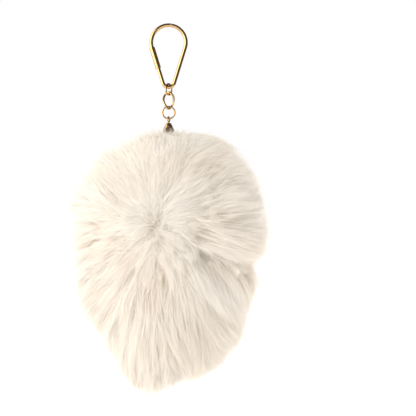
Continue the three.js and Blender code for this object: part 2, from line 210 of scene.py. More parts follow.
def sky_zone(direction, edge, brightness):
    """Brightness that changes smoothly with how nearly a ray points in a direction."""
    towards = add_node(sky, "VectorMath", [(1, direction)])
    towards.operation = "DOT_PRODUCT"
    ends = zip(("From Min", "From Max", "To Min", "To Max"), (*edge, *brightness))
    zone = add_node(sky, "MapRange", ends)
    zone.interpolation_type = "SMOOTHSTEP"
    connect(sky, (way, "Generated", towards, 0), (towards, "Value", zone, "Value"))
    return zone.outputs["Result"]


def sky_math(operation, first, second):
    """One brightness from two."""
    node = add_node(sky, "Math")
    node.operation = operation
    sky.links.new(first, node.inputs[0])
    sky.links.new(second, node.inputs[1])
    return node.outputs["Value"]


def sky_choice(question, no, yes):
    """Brightness that depends on the kind of ray; no is a number or an output, yes is the same."""
    choose = add_node(sky, "Mix")
    sky.links.new(question, choose.inputs["Factor"])
    for label, answer in (("A", no), ("B", yes)):
        if isinstance(answer, float):
            choose.inputs[label].default_value = answer
        else:
            sky.links.new(answer, choose.inputs[label])
    return choose.outputs["Result"]


patch = sky_zone(DARK_PATCH, (0.08, 0.34), (1.0, 0.07))
dull_back = sky_zone(BACK, (0.0, 0.9), (1.0, 0.34))
bright_side = sky_zone(BRIGHT_SIDE, (0.72, 0.96), (0.0, 1.5))
reflected = sky_math("ADD", sky_math("MULTIPLY", patch, dull_back), bright_side)
ray = add_node(sky, "LightPath")
lighting = sky_choice(ray.outputs["Is Glossy Ray"], STUDIO_LIGHT, reflected)
strength = sky_choice(ray.outputs["Is Camera Ray"], lighting, 1.0)
sky.links.new(strength, background.inputs["Strength"])

# %% Lamps
POM_MIDDLE = Vector((0, 0, -140)) * MM


def soft_lamp(name, place, size, power, colour):
    """A square studio lamp that looks at the middle of the pom."""
    data = bpy.data.lights.new(name, "AREA")
    data.size = size
    data.energy = power
    data.color = colour
    lamp = bpy.data.objects.new(name, data)
    lamp.location = place
    lamp.rotation_euler = (POM_MIDDLE - Vector(place)).to_track_quat("-Z", "Y").to_euler()
    lamp.visible_glossy = False
    scene.collection.objects.link(lamp)


soft_lamp("key_left", (-0.8, -0.45, 0.15), 0.6, 4.8, (1, 0.985, 0.95))
soft_lamp("back_right", (0.75, 0.5, 0.1), 0.5, 2, (1, 0.97, 0.95))

# %% [markdown]
# ## Shared effects
#
# Handled metal has hairline scratches and faint smudges, leather has pores, thread and filling have
# fibres. Each effect is a node group, built once, that puts out a mask and a height. Each material places
# it with its own values.

# %% Node group helper
def effect_group(name, inputs):
    """A shader node group with number inputs, a mask and a height; returns it with its two ends."""
    group = bpy.data.node_groups.new(name, "ShaderNodeTree")
    for label, value in inputs:
        socket = group.interface.new_socket(label, in_out="INPUT", socket_type="NodeSocketFloat")
        socket.default_value = value
    for label in ("Mask", "Height"):
        group.interface.new_socket(label, in_out="OUTPUT", socket_type="NodeSocketFloat")
    return group, group.nodes.new("NodeGroupInput"), group.nodes.new("NodeGroupOutput")


def stretched_noise(group, stretch, detail=4.0):
    """A noise on Object coordinates that are scaled unevenly; returns the noise node."""
    place = add_node(group, "TexCoord")
    mapping = add_node(group, "Mapping", [("Scale", stretch)])
    noise = add_node(group, "TexNoise", [("Detail", detail)])
    connect(group, (place, "Object", mapping, "Vector"), (mapping, "Vector", noise, "Vector"))
    return noise


# %% Hairline scratches and smudges
wear, wear_in, wear_out = effect_group("handled_metal", [("Scratches", 9000.0), ("Smudges", 260.0)])
scratch = stretched_noise(wear, (1, 1, 0.05))
smudge = stretched_noise(wear, (1, 1, 1), 2.0)
connect(wear, (wear_in, "Scratches", scratch, "Scale"), (wear_in, "Smudges", smudge, "Scale"),
        (smudge, "Fac", wear_out, "Mask"), (scratch, "Fac", wear_out, "Height"))

# %% Pores and fibres
grain, grain_in, grain_out = effect_group("hide_grain", [("Pores", 1400.0), ("Blotches", 120.0)])
pores = add_node(grain, "TexVoronoi")
blotches = stretched_noise(grain, (1, 1, 1), 5.0)
place = add_node(grain, "TexCoord")
connect(grain, (place, "Object", pores, "Vector"), (grain_in, "Pores", pores, "Scale"),
        (grain_in, "Blotches", blotches, "Scale"), (blotches, "Fac", grain_out, "Mask"),
        (pores, "Distance", grain_out, "Height"))

fibre, fibre_in, fibre_out = effect_group("loose_fibre", [("Strands", 1500.0), ("Clumps", 200.0)])
strands = stretched_noise(fibre, (1, 1, 0.12), 6.0)
clumps = stretched_noise(fibre, (1, 1, 0.5), 3.0)
connect(fibre, (fibre_in, "Strands", strands, "Scale"), (fibre_in, "Clumps", clumps, "Scale"),
        (clumps, "Fac", fibre_out, "Mask"), (strands, "Fac", fibre_out, "Height"))

# %% [markdown]
# ## Finishes
#
# Each finish is a Principled shader whose colour and roughness follow a shared effect's mask, and whose
# bump follows its height. The base colour of a metal is the colour of its reflections.

# %% Finish from an effect
MASK_LOW = 0.3
MASK_HIGH = 0.7


def effect_finish(name, effect, settings, colours, roughness, metallic, bump):
    """A material: colours and roughness each run between two values with the effect's mask."""
    material, shader = new_material(name, [("Metallic", metallic)])
    tree = material.node_tree
    group = tree.nodes.new("ShaderNodeGroup")
    group.node_tree = effect
    for label, value in settings:
        group.inputs[label].default_value = value
    ramp = add_node(tree, "ValToRGB")
    for stop, position, colour in zip(ramp.color_ramp.elements, (MASK_LOW, MASK_HIGH), colours):
        stop.position = position
        stop.color = (*colour, 1)
    rough = add_node(tree, "MapRange", [("From Min", MASK_LOW), ("From Max", MASK_HIGH),
                                        ("To Min", roughness[0]), ("To Max", roughness[1])])
    relief = add_node(tree, "Bump", [("Strength", bump[0]), ("Distance", bump[1])])
    connect(tree, (group, "Mask", ramp, "Fac"), (group, "Mask", rough, "Value"),
            (group, "Height", relief, "Height"), (ramp, "Color", shader, "Base Color"),
            (rough, "Result", shader, "Roughness"), (relief, "Normal", shader, "Normal"))
    return material


# %% Finish of each slot
FINISHES = {
    "gold_plate": effect_finish(
        "gold_plate", wear, [("Scratches", 7000), ("Smudges", 300)],
        [(0.92, 0.57, 0.22), (0.97, 0.66, 0.31)], (0.07, 0.16), 1, (0.04, 0.00002)),
    "spring_steel": effect_finish(
        "spring_steel", wear, [("Scratches", 5000), ("Smudges", 500)],
        [(0.50, 0.51, 0.53), (0.63, 0.64, 0.66)], (0.24, 0.4), 1, (0.3, 0.00004)),
    "pelt_leather": effect_finish(
        "pelt_leather", grain, [("Pores", 1500), ("Blotches", 140)],
        [(0.66, 0.52, 0.36), (0.80, 0.68, 0.52)], (0.62, 0.85), 0, (0.5, 0.0003)),
    "sewing_thread": effect_finish(
        "sewing_thread", fibre, [("Strands", 2600), ("Clumps", 900)],
        [(0.80, 0.74, 0.62), (0.93, 0.89, 0.80)], (0.7, 0.9), 0, (0.6, 0.0002)),
    "fibrefill": effect_finish(
        "fibrefill", fibre, [("Strands", 1100), ("Clumps", 160)],
        [(0.86, 0.86, 0.85), (0.97, 0.97, 0.96)], (0.85, 1.0), 0, (0.9, 0.0012)),
    "fur": effect_finish(
        "underfur", fibre, [("Strands", 1300), ("Clumps", 120)],
        [(0.90, 0.81, 0.70), (0.96, 0.90, 0.82)], (0.85, 1.0), 0, (0.9, 0.0015)),
}
print("finishes for", ", ".join(FINISHES))

# %% [markdown]
# ## Bending wire
#
# The clasp, the links and the eye are bent from round wire. A curve with a bevel would do, but the wire
# changes diameter and has cut ends, so the wire is built as a smith bends it: a round section that is
# drawn out straight, and swung round a centre for each bend. The ends are filled, and every sharp edge
# gets a small bevel.

# %% Wire helpers
SIDES = 28
STEP = math.radians(5)
Y_AXIS = Vector((0, 1, 0))
Z_AXIS = Vector((0, 0, 1))
FULL_TURN = 2 * math.pi


def round_section(bm, diameter, place, sides=SIDES):
    """The points and edges of wire's round section, which lies flat until its place turns it."""
    verts = bmesh.ops.create_circle(bm, segments=sides, radius=diameter / 2, matrix=place)["verts"]
    return verts, list({edge for vert in verts for edge in vert.link_edges})


def cap_holes(bm):
    """Fills every open end."""
    bmesh.ops.holes_fill(bm, edges=[edge for edge in bm.edges if edge.is_boundary], sides=0)
    return bm


class Wire:
    """Round wire that is drawn and bent in the XZ plane, seen from the front with X to the right."""

    def __init__(self, start, along, diameter):
        self.bm = bmesh.new()
        turn = Z_AXIS.rotation_difference(along).to_matrix().to_4x4()
        _, self.end = round_section(self.bm, diameter, Matrix.Translation(start) @ turn)
        self.middle = Vector(start)
        self.along = Vector(along).normalized()

    def draw(self, length, grow=1.0):
        """Draws the wire out straight, with its section scaled by grow at the new end."""
        made = bmesh.ops.extrude_edge_only(self.bm, edges=self.end)["geom"]
        verts = [g for g in made if isinstance(g, bmesh.types.BMVert)]
        bmesh.ops.translate(self.bm, verts=verts, vec=self.along * length)
        self.middle = self.middle + self.along * length
        shift = Matrix.Translation(-self.middle)
        bmesh.ops.scale(self.bm, verts=verts, vec=(grow, grow, grow), space=shift)
        ring = set(verts)
        self.end = [g for g in made if isinstance(g, bmesh.types.BMEdge) and set(g.verts) <= ring]
        return self

    def bend(self, centre, clockwise):
        """Bends the wire round a centre, by an angle that is clockwise when seen from the front."""
        steps = max(2, round(abs(clockwise) / STEP))
        verts = list({v for edge in self.end for v in edge.verts})
        made = bmesh.ops.spin(self.bm, geom=verts + self.end, cent=centre, axis=Y_AXIS,
                              angle=clockwise, steps=steps)
        self.end = [g for g in made["geom_last"] if isinstance(g, bmesh.types.BMEdge)]
        turn = Matrix.Rotation(clockwise, 4, "Y")
        self.middle = centre + turn @ (self.middle - centre)
        self.along = turn @ self.along
        return self

    def close(self):
        """Fills both ends and returns the bmesh."""
        return cap_holes(self.bm)


def soften(bm, width, segments=3, sharper_than=45):
    """Bevels every edge between faces that meet at more than an angle."""
    bmesh.ops.recalc_face_normals(bm, faces=bm.faces)
    limit = math.radians(sharper_than)
    sharp = [edge for edge in bm.edges if edge.is_manifold and edge.calc_face_angle() > limit]
    bmesh.ops.bevel(bm, geom=sharp, offset=width, offset_type="OFFSET", segments=segments,
                    profile=0.5, affect="EDGES", material=-1, clamp_overlap=True)
    return bm


def turned(outline, steps=72, closed=True):
    """Turns an outline of (radius, height) points once round +Z."""
    bm = bmesh.new()
    verts = [bm.verts.new((radius, 0, height)) for radius, height in outline]
    pairs = list(zip(verts, verts[1:])) + ([(verts[-1], verts[0])] if closed else [])
    edges = [bm.edges.new(pair) for pair in pairs]
    bmesh.ops.spin(bm, geom=verts + edges, axis=Z_AXIS, angle=FULL_TURN, steps=steps, use_merge=True)
    return bm


def tube(inner, outer, bottom, top, edge):
    """A tube or washer about +Z with softened rims."""
    outline = [(inner, bottom), (outer, bottom), (outer, top), (inner, top)]
    return soften(turned(outline), edge, 3)


# %% [markdown]
# ## Clasp
#
# The pear-shaped loop is one wire in two parts. The frame is the right arm, the bottom bend and the lower
# left arm. The gate is the hook on the left of the top bend, whose thin leg goes down into the sleeve on
# the left arm. They meet at a slanted cut at the top. The places follow from the loop's outer size, as on
# a drawing.

# %% Clasp sizes
WIRE = 2.5 * MM
LOOP_WIDTH = 26 * MM
LOOP_HEIGHT = 44.5 * MM
BOTTOM_BEND = 4 * MM
JOINT_OFFSET = 1.3 * MM
JOINT_SLANT = math.radians(50)
JOINT_GAP = 0.3 * MM
EDGE = 0.12 * MM

top_radius = (LOOP_WIDTH - WIRE) / 2
top_centre = Vector((0, 0, WIRE / 2 - top_radius))
loop_bottom = WIRE * 1.5 - LOOP_HEIGHT
bottom_centre = Vector((0, 0, loop_bottom + BOTTOM_BEND))
arm_tilt = math.asin((top_radius - BOTTOM_BEND) / (top_centre.z - bottom_centre.z))
arm_length = (top_centre.z - bottom_centre.z) * math.cos(arm_tilt)
arm_up = Vector((-math.sin(arm_tilt), 0, math.cos(arm_tilt)))
mouth = top_centre + Vector((-math.cos(arm_tilt), 0, -math.sin(arm_tilt))) * top_radius
joint_angle = math.acos(JOINT_OFFSET / top_radius)
joint = top_centre + Vector((math.cos(joint_angle), 0, math.sin(joint_angle))) * top_radius
joint_normal = Vector((math.sin(JOINT_SLANT), 0, -math.cos(JOINT_SLANT)))
overshoot = WIRE / top_radius
print("arm", round(arm_length / MM, 2), "mm, tilted", round(math.degrees(arm_tilt), 2), "degrees")

# %% Frame and gate
GATE_ENTRY = 2.5 * MM
LEG = 1.4 * MM
LEG_END = 11.1 * MM
PLUG_TOP = 11.7 * MM
SHOULDER = 0.3 * MM
JOINT_ZONE = 4 * WIRE


def trim_joint(bm, side):
    """Cuts the wire on the slant near the joint: 1 keeps what is right of it and -1 what is left."""
    near = {vert for vert in bm.verts if (vert.co - joint).length < JOINT_ZONE}
    geometry = list(near)
    geometry += [edge for edge in bm.edges if set(edge.verts) <= near]
    geometry += [face for face in bm.faces if set(face.verts) <= near]
    bmesh.ops.bisect_plane(bm, geom=geometry, plane_co=joint + joint_normal * side * JOINT_GAP / 2,
                           plane_no=joint_normal * side, clear_inner=True)
    return soften(cap_holes(bm), EDGE)


loop = Wire(mouth - arm_up * PLUG_TOP, -arm_up, WIRE)
loop.draw(arm_length - PLUG_TOP)
loop.bend(bottom_centre, -(math.pi - 2 * arm_tilt))
loop.draw(arm_length)
loop.bend(top_centre, -(arm_tilt + joint_angle + overshoot))
frame_wire = add_piece("wire_frame", trim_joint(loop.close(), 1), "clasp", "gold_plate", "clasp_frame")

hook = Wire(mouth - arm_up * LEG_END, arm_up, LEG)
hook.draw(LEG_END - GATE_ENTRY - SHOULDER)
hook.draw(SHOULDER, WIRE / LEG)
hook.draw(GATE_ENTRY)
hook.bend(top_centre, math.pi + arm_tilt - joint_angle + overshoot)
gate_wire = add_piece("hook_gate", trim_joint(hook.close(), -1), "gate", "gold_plate", "clasp_gate")
for made in (frame_wire, gate_wire):
    print(made.name, [round(v / MM, 2) for v in made.dimensions], "mm")

# %% [markdown]
# ## Sleeve and spring
#
# The sleeve is a tube round the left arm. Inside it a bush holds the top of a coil spring, and a seat and a
# collar on the leg carry its lower end. They are turned or coiled about +Z and then leaned over with the
# arm, which is easier than working along a slanted axis. The spring shortens as the gate pulls out.

# %% Sleeve, bush, seat and collar
SLEEVE_LENGTH = 14.7 * MM
SLEEVE_WALL = 0.4 * MM
SLIDE_GAP = 0.1 * MM
RIM_EDGE = 0.09 * MM
BORE_GAP = 0.15 * MM
COLLAR_GAP = 0.25 * MM
bore = WIRE / 2 + BORE_GAP
leg_bore = LEG / 2 + SLIDE_GAP
inside = bore - SLIDE_GAP
lean = Matrix.Translation(mouth) @ Matrix.Rotation(-arm_tilt, 4, "Y")
SLEEVE_PIECES = [
    ("sleeve_tube", "gate_sleeve", "clasp", "gold_plate", bore, bore + SLEEVE_WALL, 0, SLEEVE_LENGTH),
    ("bush_ring", "sleeve_bush", "clasp", "spring_steel", leg_bore, inside, 2.8 * MM, 1.2 * MM),
    ("seat_washer", "spring_seat", "spring_carriage", "spring_steel", leg_bore, inside, 9.6 * MM, 0.5 * MM),
    ("leg_collar", "gate_stop_collar", "gate", "spring_steel",
     leg_bore, bore - COLLAR_GAP, 10.25 * MM, 0.7 * MM),
]
for name, node, body, slot, inner, outer, depth, length in SLEEVE_PIECES:
    ring_bm = tube(inner, outer, -depth - length, -depth, RIM_EDGE)
    bmesh.ops.transform(ring_bm, matrix=lean, verts=ring_bm.verts)
    add_piece(name, ring_bm, body, slot, node)
print(len(SLEEVE_PIECES), "turned pieces in a bore of", round(2 * bore / MM, 2), "mm")

# %% Spring
SPRING_WIRE = 0.35 * MM
SPRING_TOP = 4.15 * MM
SPRING_LENGTH = 5.3 * MM
SPRING_TURNS = 4.5
COIL_STEPS = 32
SPRING_SIDES = 12


def coil(radius, wire_diameter, rise, turns, sides, low):
    """A coil of round wire about +Z whose lowest centre line is at a height."""
    bm = bmesh.new()
    stand = Matrix.Translation((radius, 0, low)) @ Matrix.Rotation(math.pi / 2, 4, "X")
    verts, edges = round_section(bm, wire_diameter, stand, sides)
    steps = round(turns * COIL_STEPS)
    bmesh.ops.spin(bm, geom=verts + edges, axis=Z_AXIS, angle=FULL_TURN * turns, steps=steps,
                   dvec=(0, 0, rise / steps))
    return cap_holes(bm)


spring_bm = coil(inside - SPRING_WIRE / 2, SPRING_WIRE, SPRING_LENGTH - SPRING_WIRE, SPRING_TURNS,
                 SPRING_SIDES, -SPRING_TOP - SPRING_LENGTH + SPRING_WIRE / 2)
bmesh.ops.transform(spring_bm, matrix=lean, verts=spring_bm.verts)
spring = add_piece("coil_spring", spring_bm, "clasp", "spring_steel", "gate_spring")
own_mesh(spring)

# %% [markdown]
# ## Chain
#
# Three links hang in a row: a round link on the clasp's bottom bend, a twisted oval link and a thin open
# ring. Each round one is wire bent almost full circle, with a butt joint. The oval one starts as a closed
# ring, which is stretched and then twisted about its length, as a curb link is made.

# %% Link sizes
LINK_GAP = 0.2 * MM
RING_CUT = 0.15 * MM
CLASP_LINK = {"outside": 8.6 * MM, "wire": 1.3 * MM, "cut": 18, "turn": 60}
CURB_LINK = {"outside": 12.6 * MM, "width": 8.6 * MM, "wire": 1.5 * MM, "top": -30, "bottom": 60}
JUMP_RING = {"outside": 9.4 * MM, "wire": 1.1 * MM, "cut": 144, "turn": 0}
EYE = {"outside": 4.2 * MM, "wire": 1.0 * MM, "turn": 65}

tops = []
lowest = loop_bottom
wire_above = WIRE
for ring in (CLASP_LINK, CURB_LINK, JUMP_RING, EYE):
    tops.append(lowest + (wire_above + ring["wire"]) / 2 + LINK_GAP)
    lowest = tops[-1] - (ring["outside"] - ring["wire"])
    wire_above = ring["wire"]
clasp_link_top, curb_top, jump_top, eye_top = tops
print("tops of the links' centre lines in mm:", [round(top / MM, 2) for top in tops])


# %% Round links
def turn_upright(bm, degrees):
    """Turns a bmesh about +Z."""
    bmesh.ops.rotate(bm, verts=bm.verts, matrix=Matrix.Rotation(math.radians(degrees), 3, "Z"))
    return bm


def start_at(centre, radius, angle, diameter):
    """Wire that starts on a circle, at an angle from +X, ready to be bent clockwise round its centre."""
    spot = Vector((math.cos(angle), 0, math.sin(angle)))
    return Wire(centre + spot * radius, Vector((math.sin(angle), 0, -math.cos(angle))), diameter)


def round_link(ring, top_line):
    """Wire bent round in the XZ plane with its cut at an angle from +X, and turned about +Z."""
    radius = (ring["outside"] - ring["wire"]) / 2
    centre = Vector((0, 0, top_line - radius))
    half = RING_CUT / 2 / radius
    bent = start_at(centre, radius, math.radians(ring["cut"]) - half, ring["wire"])
    bent.bend(centre, FULL_TURN - 2 * half)
    return turn_upright(soften(bent.close(), EDGE), ring["turn"])


for name, body, ring, top in [("round_link", "clasp_link", CLASP_LINK, clasp_link_top),
                              ("open_ring", "jump_ring", JUMP_RING, jump_top)]:
    add_piece(name, round_link(ring, top), body, "gold_plate", body)

# %% Twisted oval link
OVAL_STEPS = 96
half_width = (CURB_LINK["width"] - CURB_LINK["wire"]) / 2
half_length = (CURB_LINK["outside"] - CURB_LINK["wire"]) / 2
oval_bm = bmesh.new()
verts, edges = round_section(oval_bm, CURB_LINK["wire"], Matrix.Translation((half_width, 0, 0)))
bmesh.ops.spin(oval_bm, geom=verts + edges, axis=Y_AXIS, angle=FULL_TURN, steps=OVAL_STEPS, use_merge=True)
for vert in oval_bm.verts:
    angle = math.atan2(vert.co.z, vert.co.x)
    out = math.hypot(vert.co.x, vert.co.z) - half_width
    normal = Vector((math.cos(angle) / half_width, 0, math.sin(angle) / half_length)).normalized()
    spot = Vector((half_width * math.cos(angle), vert.co.y, half_length * math.sin(angle)))
    share = (math.sin(angle) + 1) / 2
    twist = CURB_LINK["bottom"] + (CURB_LINK["top"] - CURB_LINK["bottom"]) * share
    vert.co = Matrix.Rotation(math.radians(twist), 3, "Z") @ (spot + normal * out)
bmesh.ops.translate(oval_bm, verts=oval_bm.verts, vec=(0, 0, curb_top - half_length))
add_piece("twisted_link", oval_bm, "curb_link", "gold_plate", "curb_link")

# %% [markdown]
# ## Eye pin and cap
#
# The eye is bent at the top of a long shank, which goes down through the cap and the neck of the pelt to
# a washer and a crimp inside. The cap is turned sheet with a domed shoulder and a flared rim that is cut
# into six petals. The notches could be cut with a boolean, but pulling the rim up along a smooth curve
# gives petals without ragged edges.

# %% Eye pin
SHANK_BEND = 0.9 * MM
CAP_HEIGHT = 7.6 * MM
WASHER = {"radius": 4 * MM, "length": 0.8 * MM, "depth": 9 * MM, "edge": 0.15 * MM}
CRIMP = {"radius": 1.6 * MM, "length": 1.8 * MM, "edge": 0.2 * MM}
SEAT_GAP = 0.3 * MM
SHANK_TAIL = 0.5 * MM
EYE_MOUTH = 1.15

eye_radius = (EYE["outside"] - EYE["wire"]) / 2
eye_centre = Vector((0, 0, eye_top - eye_radius))
cap_top = eye_centre.z - EYE["outside"] / 2 - LINK_GAP
cap_rim = cap_top - CAP_HEIGHT
washer_top = cap_rim - WASHER["depth"]
crimp_top = washer_top - WASHER["length"] - SEAT_GAP
shank_end = crimp_top - CRIMP["length"] - SHANK_TAIL

drop = math.sqrt((eye_radius + SHANK_BEND) ** 2 - SHANK_BEND ** 2)
meet = math.atan2(-drop, SHANK_BEND)
nearly_round = FULL_TURN - EYE_MOUTH * EYE["wire"] / eye_radius
pin = start_at(eye_centre, eye_radius, meet + nearly_round, EYE["wire"])
pin.bend(eye_centre, nearly_round)
pin.bend(eye_centre + Vector((SHANK_BEND, 0, -drop)), meet)
pin.draw(eye_centre.z - drop - shank_end)
eye_bm = turn_upright(soften(pin.close(), EDGE), EYE["turn"])
add_piece("eye_and_shank", eye_bm, "pom", "gold_plate", "eye_pin")

# %% Cap with petals
CAP_OUTLINE = [
    (3.9, 0), (3.72, 0.9), (3.5, 2.1), (3.25, 3.3), (2.95, 4.4), (2.6, 5.3), (2.3, 5.95), (1.95, 6.6),
    (1.6, 7.15), (1.2, 7.5), (0.8, 7.6), (0.75, 7.35), (0.95, 7.1), (1.25, 6.85), (1.55, 6.3), (1.85, 5.6),
    (2.15, 4.95), (2.48, 4.1), (2.78, 3.1), (3.02, 2.0), (3.24, 0.85), (3.4, 0),
]
PETALS = 6
NOTCH_RISE = 2.6 * MM
NOTCH_POINT = 1.6
PETAL_REACH = 4.4 * MM

cap_bm = turned([(r * MM, h * MM) for r, h in CAP_OUTLINE], steps=144)
for vert in cap_bm.verts:
    turn_round = math.atan2(vert.co.y, vert.co.x)
    between = abs(math.sin(turn_round * PETALS / 2))
    low = max(0.0, 1 - vert.co.z / PETAL_REACH)
    vert.co.z += NOTCH_RISE * low * (1 - between) ** NOTCH_POINT
bmesh.ops.translate(cap_bm, verts=cap_bm.verts, vec=(0, 0, cap_rim))
add_piece("petal_cap", cap_bm, "pom", "gold_plate", "bell_cap", sharp=60)

# %% Washer and crimp inside the pelt
SHANK_GAP = 0.3 * MM

shank_bore = EYE["wire"] / 2 + SHANK_GAP
for name, node, size, top in [("inner_washer", "anchor_washer", WASHER, washer_top),
                              ("inner_crimp", "crimp_bead", CRIMP, crimp_top)]:
    part_bm = tube(shank_bore, size["radius"], top - size["length"], top, size["edge"])
    add_piece(name, part_bm, "pom", "spring_steel", node)
print("cap rim at", round(cap_rim / MM, 2), "mm, shank ends at", round(shank_end / MM, 2), "mm")

# %% [markdown]
# ## Pelt, threads and filling
#
# Under the hair is a bag of thin leather in two parts, gathered at the neck, sewn at the waist and filled
# with fibre. It hardly shows, but it carries the hair. Each half is an outline turned round and flattened
# in depth, given its thickness inwards. Cloth simulation would only wrinkle what the hair covers, so
# gathers are modelled at the neck alone, where the binding pulls the leather in.

# %% Pelt outline
PELT_WIDTH = 72 * MM
PELT_DEPTH = 54 * MM
PELT_HEIGHT = 114 * MM
PELT_WALL = 1.2 * MM
NECK_RADIUS = 2.2 * MM
NECK_RISE = 1.8 * MM
SEAM_GAP = 0.3 * MM
WAIST_DROP = 78 * MM
PELT_DROP = 3.2 * MM
CURVE_POINTS = 6
PELT_SHARES = [
    (0, 0), (0.45, 0.06), (0.76, 0.2), (0.95, 0.38), (1, 0.54), (0.93, 0.74), (0.66, 0.91), (0.3, 0.97),
]
pelt_top = cap_rim - PELT_DROP
pelt_low = pelt_top - PELT_HEIGHT
waist = cap_rim - WAIST_DROP


def smooth_outline(shares, count):
    """Points on a smooth curve through (radius, height) shares, by Catmull-Rom steps."""
    points = np.array([shares[0], *shares, shares[-1]], float)
    out = []
    for i in range(1, len(points) - 2):
        before, a, b, after = points[i - 1:i + 3]
        for t in np.linspace(0, 1, count, endpoint=False):
            out.append(0.5 * (2 * a + (b - before) * t + (2 * before - 5 * a + 4 * b - after) * t ** 2
                              + (3 * a - before - 3 * b + after) * t ** 3))
    return np.array(out + [points[-1]])


outline = smooth_outline(PELT_SHARES, CURVE_POINTS)
outline[:, 0] = np.maximum(outline[:, 0] * PELT_WIDTH / 2, 0)
outline[:, 1] = pelt_low + outline[:, 1] * PELT_HEIGHT
neck = [(5 * MM, pelt_top - 1 * MM), (NECK_RADIUS * 1.15, pelt_top + 0.4 * MM),
        (NECK_RADIUS, pelt_top + 1.2 * MM), (NECK_RADIUS, cap_rim + NECK_RISE)]
heights = [round(height / MM, 1) for height in (pelt_low, waist, pelt_top)]
print("low end, waist and top of the pelt in mm:", heights)


# %% Pelt halves
GATHERS = 13
GATHER_DEPTH = 0.05
GATHER_REACH = 9 * MM
ROUND_NECK = 12 * MM
SAME_POINT = 0.01 * MM
PELT_STEPS = 120
depth_share = PELT_DEPTH / PELT_WIDTH


def smooth(value, low, high):
    """0 below low, 1 above high, and a smooth step between."""
    t = np.clip((value - low) / (high - low), 0, 1)
    return t * t * (3 - 2 * t)


def flatten_depth(bm):
    """Flattens the depth below the neck, and gathers the leather into folds near it."""
    for vert in bm.verts:
        drop = pelt_top - vert.co.z
        angle = math.atan2(vert.co.y, vert.co.x)
        fold = 1 + GATHER_DEPTH * math.sin(GATHERS * angle) * math.exp(-max(drop, 0) / GATHER_REACH)
        vert.co.x *= fold
        vert.co.y *= fold * (1 + (depth_share - 1) * smooth(drop, 0, ROUND_NECK))


def pelt_half(name, node, points):
    """Leather turned from an outline and given its wall inwards."""
    bm = turned(points, steps=PELT_STEPS, closed=False)
    bmesh.ops.remove_doubles(bm, verts=bm.verts, dist=SAME_POINT)
    flatten_depth(bm)
    bmesh.ops.recalc_face_normals(bm, faces=bm.faces)
    middle = Vector((0, 0, waist))
    outwards = sum(face.normal.dot(face.calc_center_median() - middle) for face in bm.faces)
    if outwards < 0:
        bmesh.ops.reverse_faces(bm, faces=bm.faces)
    bmesh.ops.solidify(bm, geom=bm.faces, thickness=PELT_WALL)
    add_piece(name, bm, "pom", "pelt_leather", node, sharp=60)


below = [tuple(p) for p in outline if p[1] < waist - SEAM_GAP / 2]
above = [tuple(p) for p in outline if p[1] > waist + SEAM_GAP / 2]
waist_radius = float(np.interp(waist, outline[:, 1], outline[:, 0]))
pelt_half("crown_leather", "crown_pelt", [(waist_radius, waist + SEAM_GAP / 2), *above, *neck])
pelt_half("lower_leather", "lower_pelt", [*below, (waist_radius, waist - SEAM_GAP / 2)])
print("radius at the waist", round(waist_radius / MM, 1), "mm")

# %% [markdown]
# ## Threads
#
# The waist and the back are closed with overcast stitches, whose thread winds round its own route, and
# the neck is bound with three tight turns. A winding route is a curve with a round bevel, which keeps a
# thread's section true.

# %% Overcast seams
SEAM_THREAD = 0.8 * MM
SEAM_ROOM = 0.65 * MM
SEAM_INSET = PELT_WALL + SEAM_ROOM + SEAM_THREAD / 2
SEAM_ENDS = (math.pi * 0.56, math.pi * 2.44)
SEAM_POINTS = 90
STITCH = 2.4 * MM
STITCH_POINTS = 10
WINDING = 0.22 * MM
SHANK_ROOM = 3 * MM
NECK_ROOM = 7 * MM


def unit(v):
    """Vectors of length 1, from an array whose last axis is x, y and z."""
    return v / np.maximum(np.linalg.norm(v, axis=-1, keepdims=True), 1e-12)


def overcast(name, route, node):
    """A thread that winds round a route, as overcast stitches do."""
    route = np.array(route)
    length = np.concatenate([[0], np.cumsum(np.linalg.norm(np.diff(route, axis=0), axis=1))])
    count = round(length[-1] / STITCH) * STITCH_POINTS
    s = np.linspace(0, length[-1], count)
    line = np.stack([np.interp(s, length, route[:, k]) for k in range(3)], 1)
    along = unit(np.gradient(line, axis=0))
    side = unit(np.cross(along, line - np.array((0, 0, waist))))
    turn = FULL_TURN * s / STITCH
    line = line + WINDING * (np.cos(turn)[:, None] * side + np.sin(turn)[:, None] * np.cross(side, along))
    curve = bpy.data.curves.new(name, "CURVE")
    curve.dimensions = "3D"
    curve.bevel_depth = SEAM_THREAD / 4
    curve.bevel_resolution = 2
    curve.use_fill_caps = True
    spline = curve.splines.new("POLY")
    spline.points.add(count - 1)
    spline.points.foreach_set("co", np.hstack([line, np.ones((count, 1))]).ravel())
    fit(link(name, curve), "pom", "sewing_thread", node)
    print(name, round(length[-1] / MM), "mm long,", round(length[-1] / STITCH), "stitches")


ring_radius = waist_radius - SEAM_INSET
angles = np.linspace(*SEAM_ENDS, SEAM_POINTS)
overcast("waist_stitches", [(ring_radius * math.cos(a), ring_radius * depth_share * math.sin(a), waist)
                            for a in angles], "waist_seam")
back = [(0, (r - SEAM_INSET) * depth_share, z)
        for r, z in outline if r > NECK_ROOM and z < shank_end - SHANK_ROOM]
overcast("back_stitches", back, "back_seam")

# %% Neck binding
BINDING_THREAD = 0.7 * MM
BINDING_TURNS = 3
BINDING_GAP = 0.35 * MM
BINDING_DROP = 0.3 * MM
TURN_GAP = 0.05 * MM
THREAD_SIDES = 14

rise = BINDING_TURNS * (BINDING_THREAD + TURN_GAP)
binding_bm = coil(NECK_RADIUS + BINDING_GAP + BINDING_THREAD / 2, BINDING_THREAD, rise, BINDING_TURNS,
                  THREAD_SIDES, cap_rim - BINDING_DROP - BINDING_THREAD / 2 - rise)
add_piece("binding_turns", binding_bm, "pom", "sewing_thread", "neck_binding")

